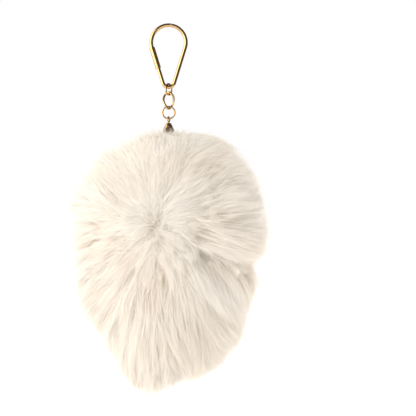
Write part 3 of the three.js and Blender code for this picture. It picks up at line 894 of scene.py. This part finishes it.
# %% [markdown]
# ## Filling
#
# Fibre filling is a soft lump with hollows, which fills the bag up to the crimp. How far the pelt, the
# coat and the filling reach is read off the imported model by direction. A ball is pulled out to a little
# less than the filling's reach, and pushed in and out by slow ripples.

# %% Directions, noise and radius grids
CENTRE = np.array(POM_MIDDLE)
AROUND = 120
DOWN = 64
OFF_POLE = 0.002
FAR_OUT = 0.3
SMOOTHINGS = 3


def ripple(points, size, seed, waves=7):
    """Smooth noise, mostly between -1 and 1, with lumps of a given size."""
    rng = np.random.default_rng(seed)
    total = np.zeros(points.shape[:-1])
    for _ in range(waves):
        k = unit(rng.normal(size=3)) * FULL_TURN / (size * rng.uniform(0.7, 1.6))
        total += np.sin(points @ k + rng.uniform(0, FULL_TURN))
    return total / math.sqrt(waves / 2)


def outer_radius(*names):
    """Grid of distances from the centre to the outside of some CAD nodes, by direction, smoothed."""
    bm = bmesh.new()
    for name in names:
        bm.from_mesh(nodes[name].data)
    tree = BVHTree.FromBMesh(bm)
    bm.free()
    grid = np.full((DOWN + 1, AROUND), np.nan)
    for i, j in np.ndindex(*grid.shape):
        polar = math.pi * min(max(i / DOWN, OFF_POLE), 1 - OFF_POLE)
        turn = FULL_TURN * j / AROUND
        d = Vector((math.sin(polar) * math.cos(turn), math.sin(polar) * math.sin(turn), math.cos(polar)))
        hit = tree.ray_cast(POM_MIDDLE + d * FAR_OUT, -d)[0]
        if hit:
            grid[i, j] = (hit - POM_MIDDLE).length
    grid = np.where(np.isnan(grid), np.nanmean(grid, axis=1, keepdims=True), grid)
    for _ in range(SMOOTHINGS):
        grid = (np.roll(grid, 1, 1) + 2 * grid + np.roll(grid, -1, 1)) / 4
        grid[1:-1] = (grid[:-2] + 2 * grid[1:-1] + grid[2:]) / 4
    return grid


def look_up(grid, d):
    """Reads a direction grid between its points for unit vectors d of shape (..., 3)."""
    row = np.arccos(np.clip(d[..., 2], -1, 1)) / math.pi * DOWN
    column = np.arctan2(d[..., 1], d[..., 0]) / FULL_TURN % 1 * AROUND
    i = np.minimum(row.astype(int), DOWN - 1)
    j = column.astype(int) % AROUND
    k = (j + 1) % AROUND
    a = row - i
    b = column - np.floor(column)
    upper = grid[i, j] * (1 - b) + grid[i, k] * b
    lower = grid[i + 1, j] * (1 - b) + grid[i + 1, k] * b
    return upper * (1 - a) + lower * a


pelt_grid = outer_radius("crown_pelt", "lower_pelt")
coat_grid = outer_radius("crown_fur", "lower_fur")
filling_grid = outer_radius("stuffing_core")
for label, grid in (("pelt", pelt_grid), ("coat", coat_grid), ("filling", filling_grid)):
    print(label, "from", round(grid.min() / MM, 1), "to", round(grid.max() / MM, 1), "mm from the middle")


# %% Filling
BALL_DETAIL = 6
FILLING_SHARE = 0.955
FILLING_LUMPS = 0.03


def ball(radius_of):
    """A closed ball round the middle of the pom, with each point at a distance found from its direction."""
    bm = bmesh.new()
    bmesh.ops.create_icosphere(bm, subdivisions=BALL_DETAIL, radius=1)
    d = unit(np.array([vert.co for vert in bm.verts]))
    points = CENTRE + d * radius_of(d)[:, None]
    for vert, point in zip(bm.verts, points):
        vert.co = point
    return bm


def filling_radius(d):
    """Distance from the middle of the pom to the outside of the filling."""
    share = FILLING_SHARE + FILLING_LUMPS * ripple(d * 40 * MM, 16 * MM, 41)
    return look_up(filling_grid, d) * share


filling_bm = ball(filling_radius)
filling_piece = add_piece("fibre_filling", filling_bm, "pom", "fibrefill", "stuffing_core", sharp=180)

# %% [markdown]
# ## The lie of the hair
#
# On the front the hair fans out from a whorl left of the middle. A parting runs up from it. To its right
# the crown's hair sweeps sideways in a lobe, whose lower edge lies over the top of the lower pelt's long
# hair and makes a crease. To its left the hair stands up and looks fluffy. At the back it fans out from
# high up and falls. Combing could be done by hand on hair curves, but a formula for the flow gives the
# same coat each time.

# %% Whorls, parting and crease
WHORL = np.array((-8, -133)) * MM
BACK_WHORL = np.array((4, -104)) * MM
PARTING = np.array([(-8, -133), (-1, -110), (11, -92), (20, -80)]) * MM
CREASE = np.array([(13, -143), (22, -149), (31, -155), (47, -158), (70, -159)]) * MM
PARTING_ANGLE = 70
FLUFF_ANGLE = 128
SIDE_FALL = 0.6
LOBE_HOLD = 0.3


def wrapped(angle):
    """An angle in degrees, brought to between -180 and 180."""
    return (angle + 180) % 360 - 180


def from_whorl(points, whorl):
    """Distance and angle in degrees from a whorl, seen from the front."""
    across = points[..., 0] - whorl[0]
    rise = points[..., 2] - whorl[1]
    return np.hypot(across, rise), np.degrees(np.arctan2(rise, across))


def from_line(points, line):
    """Distance from a line of points on the front, share of its length there, and whether it lies below."""
    best = np.full(points.shape[:-1], 1.0)
    share = np.zeros(points.shape[:-1])
    under = np.zeros(points.shape[:-1], bool)
    spot = points[..., (0, 2)]
    for k, (a, b) in enumerate(zip(line, line[1:])):
        along = b - a
        t = np.clip(((spot - a) @ along) / (along @ along), 0, 1)
        gap = spot - (a + t[..., None] * along)
        far = np.hypot(gap[..., 0], gap[..., 1])
        nearer = far < best
        best = np.where(nearer, far, best)
        share = np.where(nearer, (k + t) / (len(line) - 1), share)
        under = np.where(nearer, along[0] * gap[..., 1] - along[1] * gap[..., 0] < 0, under)
    return best, share, under


# %% Fluffy hair
FLUFF_WIDTH = 55
WHORL_FLUFF = 16 * MM


def bump(x, width):
    """1 at 0, falling smoothly to both sides."""
    return np.exp(-(x / width) ** 2)


def fluffiness(points, d):
    """1 where the hair of the front stands up without lying in locks, and 0 where it lies."""
    distance, angle = from_whorl(points, WHORL)
    upper_left = bump(wrapped(angle - FLUFF_ANGLE), FLUFF_WIDTH)
    return np.maximum(upper_left, bump(distance, WHORL_FLUFF)) * smooth(-d[..., 1], -0.3, 0.3)


# %% Flow of the hair
SPLAY = 20
SPLAY_WIDTH = 26
TURN_DOWN = 48
TURN_UP = 18
WANDER = 28 * MM
FRONT_WANDER = 9
BACK_WANDER = 15
EASE = 0.15


def spread(lie, strength):
    """Vectors in the plane of the front, at an angle in degrees from +X and with a strength."""
    lie = np.radians(lie)
    return np.stack([np.cos(lie), np.zeros_like(lie), np.sin(lie)], -1) * strength[..., None]


def front_flow(points, d):
    """The lie of the front: out from the whorl, splayed by the parting and turned by the crease."""
    distance, angle = from_whorl(points, WHORL)
    off_parting = wrapped(angle - PARTING_ANGLE)
    splay = SPLAY * smooth(distance, 4 * MM, 22 * MM) * (1 - 0.8 * smooth(distance, 35 * MM, 58 * MM))
    lie = angle + np.sign(off_parting) * splay * np.exp(-np.abs(off_parting) / SPLAY_WIDTH)
    off_crease, share, under = from_line(points, CREASE)
    turned_down = -TURN_DOWN * (1 - 0.45 * smooth(share, 0.5, 0.9)) * np.exp(-off_crease / (15 * MM))
    turned_up = TURN_UP * smooth(share, 0.05, 0.3) * np.exp(-off_crease / (12 * MM))
    lie = lie + np.where(under, turned_down * smooth(share, 0, 0.2), turned_up)
    strength = (0.04 + 0.96 * smooth(distance, 0, 40 * MM)) * (1 - 0.65 * fluffiness(points, d))
    return spread(lie + FRONT_WANDER * ripple(points, WANDER, 5), strength)


def flow(points, d):
    """Tangent vectors, at most about 1 long, along which the hair lies at points on the coat."""
    distance, angle = from_whorl(points, BACK_WHORL)
    back = spread(angle + BACK_WANDER * ripple(points, WANDER, 6), 0.2 + 0.8 * smooth(distance, 0, 30 * MM))
    side = np.array((0, 0.45, -1)) * SIDE_FALL
    held = LOBE_HOLD * smooth(points[..., 2], -165 * MM, -152 * MM)
    to_side = smooth(d[..., 1] - held, -0.4, 0.15)[..., None]
    to_back = smooth(d[..., 1], 0.25, 0.6)[..., None]
    mixed = (front_flow(points, d) * (1 - to_side) + side * to_side) * (1 - to_back) + back * to_back
    laid = mixed - (mixed * d).sum(-1, keepdims=True) * d
    strength = np.linalg.norm(mixed, axis=-1, keepdims=True)
    return laid * strength / (np.linalg.norm(laid, axis=-1, keepdims=True) + EASE * strength + 1e-9)


# %% Relief of the coat
PARTING_DEPTH = 2.4 * MM
CREASE_DEPTH = 4 * MM
HOLLOW_DEPTH = 9 * MM
HOLLOW_SHARE = 0.45
LOBE_SWELL = 3 * MM


def relief(points, d):
    """How far the coat swells, or dips if negative, at points on the front, in metres."""
    far, share, _ = from_line(points, PARTING)
    dip = PARTING_DEPTH * bump(far, 5 * MM) * (1 - 0.5 * share)
    far, share, under = from_line(points, CREASE)
    deep = CREASE_DEPTH * smooth(share, 0.2, 0.5) * (1 - 0.8 * smooth(share, 0.7, 0.95))
    deep = deep + HOLLOW_DEPTH * bump(share - HOLLOW_SHARE, 0.13)
    dip = dip + deep * np.where(under, bump(far, 11 * MM), bump(far, 1.5 * MM))
    dip = dip - np.where(under, 0, LOBE_SWELL * smooth(share, 0, 0.3) * bump(far - 11 * MM, 8 * MM))
    return -dip * smooth(-d[..., 1], 0.0, 0.5)


# %% [markdown]
# ## Growing locks
#
# Hair grows in locks. A lock's guide hair leaves the pelt steeply, rises through the coat and lies down
# along the flow. Its hairs start apart, close in towards its tip, and some stray. The locks are worked
# out together, as arrays, because there are thousands.

# %% Guides
STEPS = 4
ROWS = STEPS + 1
LEAST_COAT = 4 * MM
LATE_TRAVEL = 0.65
STEP_STRETCH = 1.45
row_share = np.arange(ROWS) / STEPS


def roots(tries, rng):
    """Directions of lock roots: a share of random ones is kept, and more on the front than on the back."""
    d = unit(rng.normal(size=(tries, 3)))
    outer = look_up(coat_grid, d)
    spot = CENTRE + d * outer[:, None]
    near_whorl = bump(from_whorl(spot, WHORL)[0], 15 * MM) * (d[:, 1] < 0)
    tail = smooth(-spot[:, 2], 175 * MM, 235 * MM)
    weight = outer ** 2 * (1 + 0.4 * smooth(-d[:, 1], -0.2, 0.6) + 1.6 * near_whorl + 0.6 * tail)
    return d[rng.uniform(size=len(d)) < weight / weight.max()]


def coat_at(d):
    """Distances from the middle to the pelt and to the coat's outside, and the points on the outside."""
    outer = look_up(coat_grid, d)
    inner = np.minimum(look_up(pelt_grid, d), outer - LEAST_COAT)
    return inner, outer, CENTRE + d * outer[:, None]


def grow(d, reach, rise, travel, stray, shift, start=0.0, least=0.0):
    """Guide paths of shape (count, ROWS, 3), from a share of the coat's depth out to another.

    Each lock reads the flow a little aside, by its shift, so that locks cross over a parting and hide
    its roots. Hair is stiff, so half of each step keeps to the flow at the root. A step is at least a
    share of its full length.
    """
    path = np.zeros((len(d), ROWS, 3))
    at = d.copy()
    cos, sin = np.cos(stray)[:, None], np.sin(stray)[:, None]
    inner, outer, surface = coat_at(at)
    lead = flow(surface + shift, d)
    for row, s in enumerate(row_share):
        if row:
            step = 0.5 * flow(surface + shift, at) + 0.5 * lead
            step = step - (step * at).sum(1, keepdims=True) * at
            step = step * np.maximum(1, least / (np.linalg.norm(step, axis=1, keepdims=True) + 1e-9))
            length = travel * (1 - LATE_TRAVEL + LATE_TRAVEL * s) / STEPS * STEP_STRETCH
            step = (step * cos + np.cross(at, step) * sin) * length[:, None]
            at = unit(at + step / outer[:, None])
            inner, outer, surface = coat_at(at)
        height = start + (reach - start) * (1 - (1 - s) ** rise)
        path[:, row] = CENTRE + at * (inner + (outer + relief(surface, at) - inner) * height)[:, None]
    return path


# %% Locks of hair
LOOSE_TIPS = (1.2 * MM, 4.0 * MM)
TIP_SHARES = (0.2, 1.6)
LENGTH_SPREAD = 1.8 * MM
LOOSE_LENGTH = 2 * MM
SWIRL = 0.8
ROLL = 0.6


def lock_hairs(paths, per_lock, rng, root_radius, tip_radius, strays):
    """Hairs round guide paths: points, sides of their ribbons, and which lock each belongs to."""
    count = len(paths)
    root_radius = np.broadcast_to(root_radius, (count,))[:, None]
    tip_radius = np.broadcast_to(tip_radius, (count,))[:, None]
    outward = unit(paths - CENTRE)
    along = np.gradient(paths, axis=1)
    across = unit(np.cross(along, outward))
    up = unit(np.cross(across, along))
    shape = (count, per_lock)
    loose = rng.uniform(size=shape) < strays
    root = root_radius * np.sqrt(rng.uniform(size=shape))
    tip = np.where(loose, rng.uniform(*LOOSE_TIPS, shape), tip_radius * rng.uniform(*TIP_SHARES, shape))
    radius = root[..., None] * (1 - row_share) ** 1.2 + tip[..., None] * row_share
    turn = rng.uniform(0, FULL_TURN, shape)[..., None] + rng.normal(0, SWIRL, shape)[..., None] * row_share
    offset = np.cos(turn)[..., None] * across[:, None] + np.sin(turn)[..., None] * up[:, None]
    hairs = paths[:, None] + offset * radius[..., None]
    stretch = rng.normal(0, LENGTH_SPREAD, shape) + np.where(loose, LOOSE_LENGTH, 0)
    hairs[..., -1, :] += unit(paths[:, -1] - paths[:, -2])[:, None] * stretch[..., None]
    hairs = hairs.reshape(-1, ROWS, 3)
    roll = rng.normal(0, ROLL, len(hairs))[:, None, None]
    side = np.repeat(across, per_lock, axis=0) * np.cos(roll)
    side = side + np.repeat(up, per_lock, axis=0) * np.sin(roll)
    return hairs, side, np.repeat(np.arange(count), per_lock)


# %% Guides of the coat
ROOT_TRIES = 72000
TRAVEL = 33 * MM
REACH = 0.965
UNDER_HAIR = 0.25

rng = np.random.default_rng(3)
lock_roots = roots(ROOT_TRIES, rng)
_, _, lock_spots = coat_at(lock_roots)
lock_count = len(lock_roots)
right = lock_spots[:, 0]
down = -lock_spots[:, 2]
long_left = 0.12 * smooth(-right, 20 * MM, 60 * MM) * (1 - 0.8 * smooth(down, 165 * MM, 200 * MM))
long_tail = 0.05 + 0.05 * smooth(right, 5 * MM, 25 * MM) - 0.04 * smooth(-right, 10 * MM, 30 * MM)
long_tail = long_tail * smooth(down, 170 * MM, 200 * MM)
short_shoulder = 0.09 * smooth(right, 12 * MM, 30 * MM) * (1 - smooth(down, 82 * MM, 98 * MM))
long_lobe = 0.07 * smooth(right, 25 * MM, 45 * MM) * bump(down - 152 * MM, 14 * MM)
reach_share = REACH + (long_left + long_tail - short_shoulder + long_lobe)
reach_share = reach_share + 0.02 * ripple(lock_spots, 22 * MM, 11) + rng.normal(0, 0.04, lock_count)
under_hair = rng.uniform(size=lock_count) < UNDER_HAIR
reach_share = np.where(under_hair, reach_share * rng.uniform(0.6, 0.92, lock_count), reach_share)
stray_turn = rng.normal(0, 1, lock_count)
stray_turn = stray_turn * (0.13 + 0.6 * np.exp(-from_whorl(lock_spots, WHORL)[0] / (14 * MM)))
combed = smooth(right, 2 * MM, 18 * MM)[:, None]
crossing = rng.normal(0, 4 * MM, (lock_count, 3)) * (1 - 0.85 * combed)
guide_paths = grow(lock_roots, reach_share, rng.uniform(1.7, 2.3, lock_count),
                   TRAVEL * rng.uniform(0.7, 1.2, lock_count), stray_turn, crossing)

# %% Guides that cover the parting
COVER_TRIES = 60000
COVER_WIDTH = 9 * MM
COVER_TRAVEL = 20 * MM
COVER_CROSSING = 8 * MM

cover_roots = unit(rng.normal(size=(COVER_TRIES, 3)))
off_parting, _, _ = from_line(coat_at(cover_roots)[2], PARTING)
chosen = (cover_roots[:, 1] < 0) & (rng.uniform(size=COVER_TRIES) < bump(off_parting, COVER_WIDTH))
cover_roots = cover_roots[chosen]
cover_count = len(cover_roots)
cover_paths = grow(cover_roots, rng.normal(0.98, 0.03, cover_count), rng.uniform(1.5, 2.0, cover_count),
                   COVER_TRAVEL * rng.uniform(0.7, 1.3, cover_count), rng.normal(0, 0.3, cover_count),
                   rng.normal(0, COVER_CROSSING, (cover_count, 3)), start=0.6, least=0.8)
lock_roots = np.concatenate([lock_roots, cover_roots])
guide_paths = np.concatenate([guide_paths, cover_paths])

# %% Hairs of the coat
HAIRS_PER_LOCK = 9
HAIR_WIDTH = 0.165 * MM
TONE = 0.62
WARM_TAIL = 0.17
PAINTED_PALE_FRINGE = 0.12
LOOSE = 0.4

_, _, lock_spots = coat_at(lock_roots)
lock_count = len(lock_roots)
down = -lock_spots[:, 2]
fluffy = fluffiness(lock_spots, lock_roots)
coat_depth = look_up(coat_grid, lock_roots) - look_up(pelt_grid, lock_roots)
spacing = np.clip(coat_depth / (28 * MM), 1, 2.2)
hairs, sides, lock_of = lock_hairs(guide_paths, HAIRS_PER_LOCK, rng, (1.8 + 1.6 * fluffy) * spacing * MM,
                                   (0.7 * spacing + 0.2 + 1.8 * fluffy) * MM, LOOSE)
tones = TONE - WARM_TAIL * smooth(down, 140 * MM, 200 * MM) + 0.1 * ripple(lock_spots, 30 * MM, 21)
tones = tones + rng.normal(0, 0.12, lock_count) * (1 - 0.6 * fluffy)
tones = np.clip(tones[lock_of] + rng.normal(0, 0.08, len(hairs)), 0, 1)
# Painted light: the lowest hair is painted paler, for the brighter look of a thin fringe with little shade
# between its hairs.
tones = np.clip(tones + PAINTED_PALE_FRINGE * smooth(down[lock_of], 205 * MM, 235 * MM), 0, 1)
widths = HAIR_WIDTH * rng.uniform(0.7, 1.25, len(hairs))
print(lock_count, "locks,", cover_count, "of them cover the parting,", len(hairs), "hairs")

# %% [markdown]
# ## One hair, thousands of times
#
# A hair is a thin ribbon that narrows to a point: a narrow grid whose end is merged. An array modifier
# copies it, and then every copy's points are moved onto its own path. A hair system would be quicker to
# set up, but its hairs aren't a mesh. The ribbon's UV map holds the hair's tone across and the way from
# root to tip along, which is all that its colour needs.

# %% Ribbon
ribbon_bm = bmesh.new()
bmesh.ops.create_grid(ribbon_bm, x_segments=1, y_segments=STEPS, size=0.5)
tip = [vert for vert in ribbon_bm.verts if vert.co.y > 0.49]
bmesh.ops.pointmerge(ribbon_bm, verts=tip, merge_co=(0, 0.5, 0))
ribbon_uv = ribbon_bm.loops.layers.uv.new("OFBake")
for face in ribbon_bm.faces:
    for corner in face.loops:
        corner[ribbon_uv].uv = (corner.vert.co.x + 0.5, corner.vert.co.y + 0.5)
RIBBON = bpy.data.meshes.new("ribbon")
ribbon_bm.to_mesh(RIBBON)
ribbon_bm.free()
point_rows = np.array([round((v.co.y + 0.5) * STEPS) for v in RIBBON.vertices])
point_sides = np.array([round(v.co.x * 2) for v in RIBBON.vertices])
TONE_WIDTH = 0.006


def hair_piece(name, paths, side, width, tone):
    """A piece of many hairs from their paths, ribbon sides, widths and tones."""
    count = len(paths)
    pattern = link(name + "_pattern", RIBBON.copy())
    copies = pattern.modifiers.new("copies", "ARRAY")
    copies.count = count
    copies.use_relative_offset = False
    graph = bpy.context.evaluated_depsgraph_get()
    mesh = bpy.data.meshes.new_from_object(pattern.evaluated_get(graph))
    bpy.data.objects.remove(pattern)
    half = width[:, None] * (1 - 0.9 * row_share[None] ** 2) / 2
    shift = side[:, point_rows] * (half[:, point_rows] * point_sides)[..., None]
    mesh.vertices.foreach_set("co", (paths[:, point_rows] + shift).astype(np.float32).ravel())
    layer = mesh.uv_layers["OFBake"]
    uv = np.zeros(len(mesh.loops) * 2, np.float32)
    layer.data.foreach_get("uv", uv)
    uv = uv.reshape(count, -1, 2)
    uv[..., 0] = tone[:, None] * (1 - TONE_WIDTH) + uv[..., 0] * TONE_WIDTH
    layer.data.foreach_set("uv", uv.ravel())
    mesh.update()
    mesh.shade_smooth()
    return link(name, mesh)


# %% [markdown]
# ## Hair finish
#
# Undyed pale fur isn't one colour: some locks are creamier. The tone along the UV map picks the lock's
# cream from a ramp. Near the root the cream is multiplied by a painted shade, warmer and darker, for the
# shadow deep in the coat, and the way from root to tip lightens it.

# %% Hair finish
HAIR_VALUES = [("Roughness", 0.6), ("Specular IOR Level", 0.25)]
HAIR_CREAMS = [(0.0, (0.88, 0.78, 0.65)), (0.5, (0.96, 0.895, 0.81)), (1.0, (0.985, 0.95, 0.89))]
# Painted shade at the roots: a warm tan at the root that fades to none three quarters of the way to the
# tip.
ROOT_PAINTED_SHADE = [(0.0, (0.95, 0.905, 0.85)), (0.75, (1, 1, 1))]

hair, hair_shader = new_material("fur", HAIR_VALUES)
hair_tree = hair.node_tree
hair_map = add_node(hair_tree, "UVMap")
hair_map.uv_map = "OFBake"
split = add_node(hair_tree, "SeparateXYZ")
cream = add_node(hair_tree, "ValToRGB")
cream.color_ramp.elements.new(0.5)
# This ramp paints the shade near the roots, and the mix below multiplies it into the cream.
painted_root_shade = add_node(hair_tree, "ValToRGB")
for ramp, stops in ((cream, HAIR_CREAMS), (painted_root_shade, ROOT_PAINTED_SHADE)):
    for stop, (position, colour) in zip(ramp.color_ramp.elements, stops):
        stop.position = position
        stop.color = (*colour, 1)
shade = add_node(hair_tree, "Mix")
shade.data_type = "RGBA"
shade.blend_type = "MULTIPLY"
shade.inputs[0].default_value = 1
connect(hair_tree, (hair_map, "UV", split, "Vector"), (split, "X", cream, "Fac"),
        (split, "Y", painted_root_shade, "Fac"), (cream, "Color", shade, 6), (painted_root_shade, "Color", shade, 7),
        (shade, 2, hair_shader, "Base Color"))

# %% Hair round the neck
NECK_LOCKS = 600
CAP_KEEP_OUT = 4.3 * MM
NECK_TIPS = -75.6 * MM
HIGHEST_TIP = -68.5 * MM
NECK_HAIRS = 20
NECK_PAINTED_PALE_TONE = 0.95
RIM_ZONE = 12 * MM
RIM_DROP = 1.2 * MM
RIM_SLOPE = 0.5
NECK_LENGTH = 2.6 * MM

neck_rng = np.random.default_rng(8)
turn = neck_rng.uniform(0, FULL_TURN, NECK_LOCKS)
out = neck_rng.uniform(0, 1, NECK_LOCKS)
root_out = 2.9 * MM + 5 * MM * out
tip_out = CAP_KEEP_OUT + 0.8 * MM + 22 * MM * out ** 1.2
tip_height = NECK_TIPS - 3.0 * MM * out ** 2 + neck_rng.exponential(1.8 * MM, NECK_LOCKS)
tip_height = np.minimum(tip_height, HIGHEST_TIP)
root_height = pelt_top - 1 * MM - 3 * MM * out
bow = row_share[None] ** 1.5
reach_out = root_out[:, None] * (1 - row_share) + tip_out[:, None] * row_share
reach_out = np.maximum(reach_out, np.where(row_share > 0.3, CAP_KEEP_OUT, 0)[None])
height = root_height[:, None] + (tip_height - root_height)[:, None] * (1 - (1 - row_share) ** 1.3)[None]
swirl = turn[:, None] + neck_rng.normal(0, 0.3, NECK_LOCKS)[:, None] * bow
neck_paths = np.stack([reach_out * np.cos(swirl), reach_out * np.sin(swirl), height], -1)
neck_hairs, neck_sides, _ = lock_hairs(neck_paths, NECK_HAIRS, neck_rng, 1.2 * MM, 0.8 * MM, 0.3)
# Painted light: the hair round the neck is painted paler than the rest of the coat, to offset the shade
# between its standing hairs.
neck_tones = np.clip(NECK_PAINTED_PALE_TONE + neck_rng.normal(0, 0.1, len(neck_hairs)), 0, 1)
neck_widths = HAIR_WIDTH * 0.8 * neck_rng.uniform(0.7, 1.2, len(neck_hairs))


def clear_of_cap(paths):
    """Moves points sideways out of the cap and the bound neck, and lowers hair round the cap's rim."""
    away = np.hypot(paths[..., 0], paths[..., 1])
    limit = cap_rim - RIM_DROP + np.maximum(away - CAP_KEEP_OUT, 0) * RIM_SLOPE
    high = np.maximum(paths[..., 2] - limit, 0) * (away < RIM_ZONE)
    paths = paths - 0.5 * high[..., None] * (0, 0, 1)
    within = (paths[..., 2] > cap_rim - NECK_LENGTH) & (away < CAP_KEEP_OUT)
    grow_by = np.where(within, CAP_KEEP_OUT / np.maximum(away, SAME_POINT), 1)
    return paths * np.stack([grow_by, grow_by, np.ones_like(grow_by)], -1)


# %% Hair pieces
CROWN_PIECES = 8
LOWER_PIECES = 5

hairs = clear_of_cap(hairs)
is_crown = (CENTRE + lock_roots * look_up(pelt_grid, lock_roots)[:, None])[:, 2] > waist
azimuth = np.arctan2(lock_roots[:, 1], lock_roots[:, 0])
for label, node, member, pieces in [("crown", "crown_fur", is_crown, CROWN_PIECES),
                                    ("lower", "lower_fur", ~is_crown, LOWER_PIECES)]:
    chosen = np.flatnonzero(member)
    chosen = chosen[np.argsort(azimuth[chosen])]
    for number, part in enumerate(np.array_split(chosen, pieces), 1):
        mine = np.isin(lock_of, part)
        piece = hair_piece(f"{label}_hair_{number}", hairs[mine], sides[mine], widths[mine], tones[mine])
        fit(piece, "pom", "fur", node, material=hair)
        print(piece.name, int(mine.sum()), "hairs")
neck_piece = hair_piece("neck_hair", clear_of_cap(neck_hairs), neck_sides, neck_widths, neck_tones)
fit(neck_piece, "pom", "fur", "crown_fur", material=hair)

# %% [markdown]
# ## Underfur
#
# Between the long hairs is short dense wool, which closes the coat. It is a soft shell between the pelt
# and the outside, with the coat's dips and ripples of its own, so that no light gets through between the
# hairs.

# %% Underfur
WOOL_SHARE = 0.7
WOOL_THICKNESS = 3 * MM
NECK_OPENING = 7 * MM
NECK_ZONE = 15 * MM
CREASE_THINNING = 0.14


def wool_radius(d):
    """Distance from the middle of the pom to the outside of the wool."""
    inner, outer, surface = coat_at(d)
    share = WOOL_SHARE + 0.05 * ripple(surface, 14 * MM, 31) + 0.03 * ripple(surface, 5 * MM, 32)
    share = share - CREASE_THINNING * bump(from_line(surface, CREASE)[0], 8 * MM) * (d[:, 1] < 0)
    return inner + (outer + relief(surface, d) - inner) * share


for label, node, side in [("crown", "crown_fur", 1), ("lower", "lower_fur", -1)]:
    wool_bm = ball(wool_radius)
    everything = [*wool_bm.verts, *wool_bm.edges, *wool_bm.faces]
    bmesh.ops.bisect_plane(wool_bm, geom=everything, plane_co=(0, 0, waist + side * SEAM_GAP / 2),
                           plane_no=(0, 0, side), clear_inner=True)
    round_neck = [vert for vert in wool_bm.verts
                  if side > 0 and vert.co.z > pelt_top - NECK_ZONE and vert.co.xy.length < NECK_OPENING]
    bmesh.ops.delete(wool_bm, geom=round_neck, context="VERTS")
    bmesh.ops.solidify(wool_bm, geom=wool_bm.faces, thickness=WOOL_THICKNESS)
    wool = add_piece(label + "_wool", wool_bm, "pom", "fur", node, sharp=180)
    print(wool.name, [round(v / MM, 1) for v in wool.dimensions])

# %% Finish of each imported node
for subpart in frame["record"]["subparts"]:
    node = nodes[subpart["node"]]
    node.data.materials.clear()
    node.data.materials.append(FINISHES[subpart["material_slot"]])
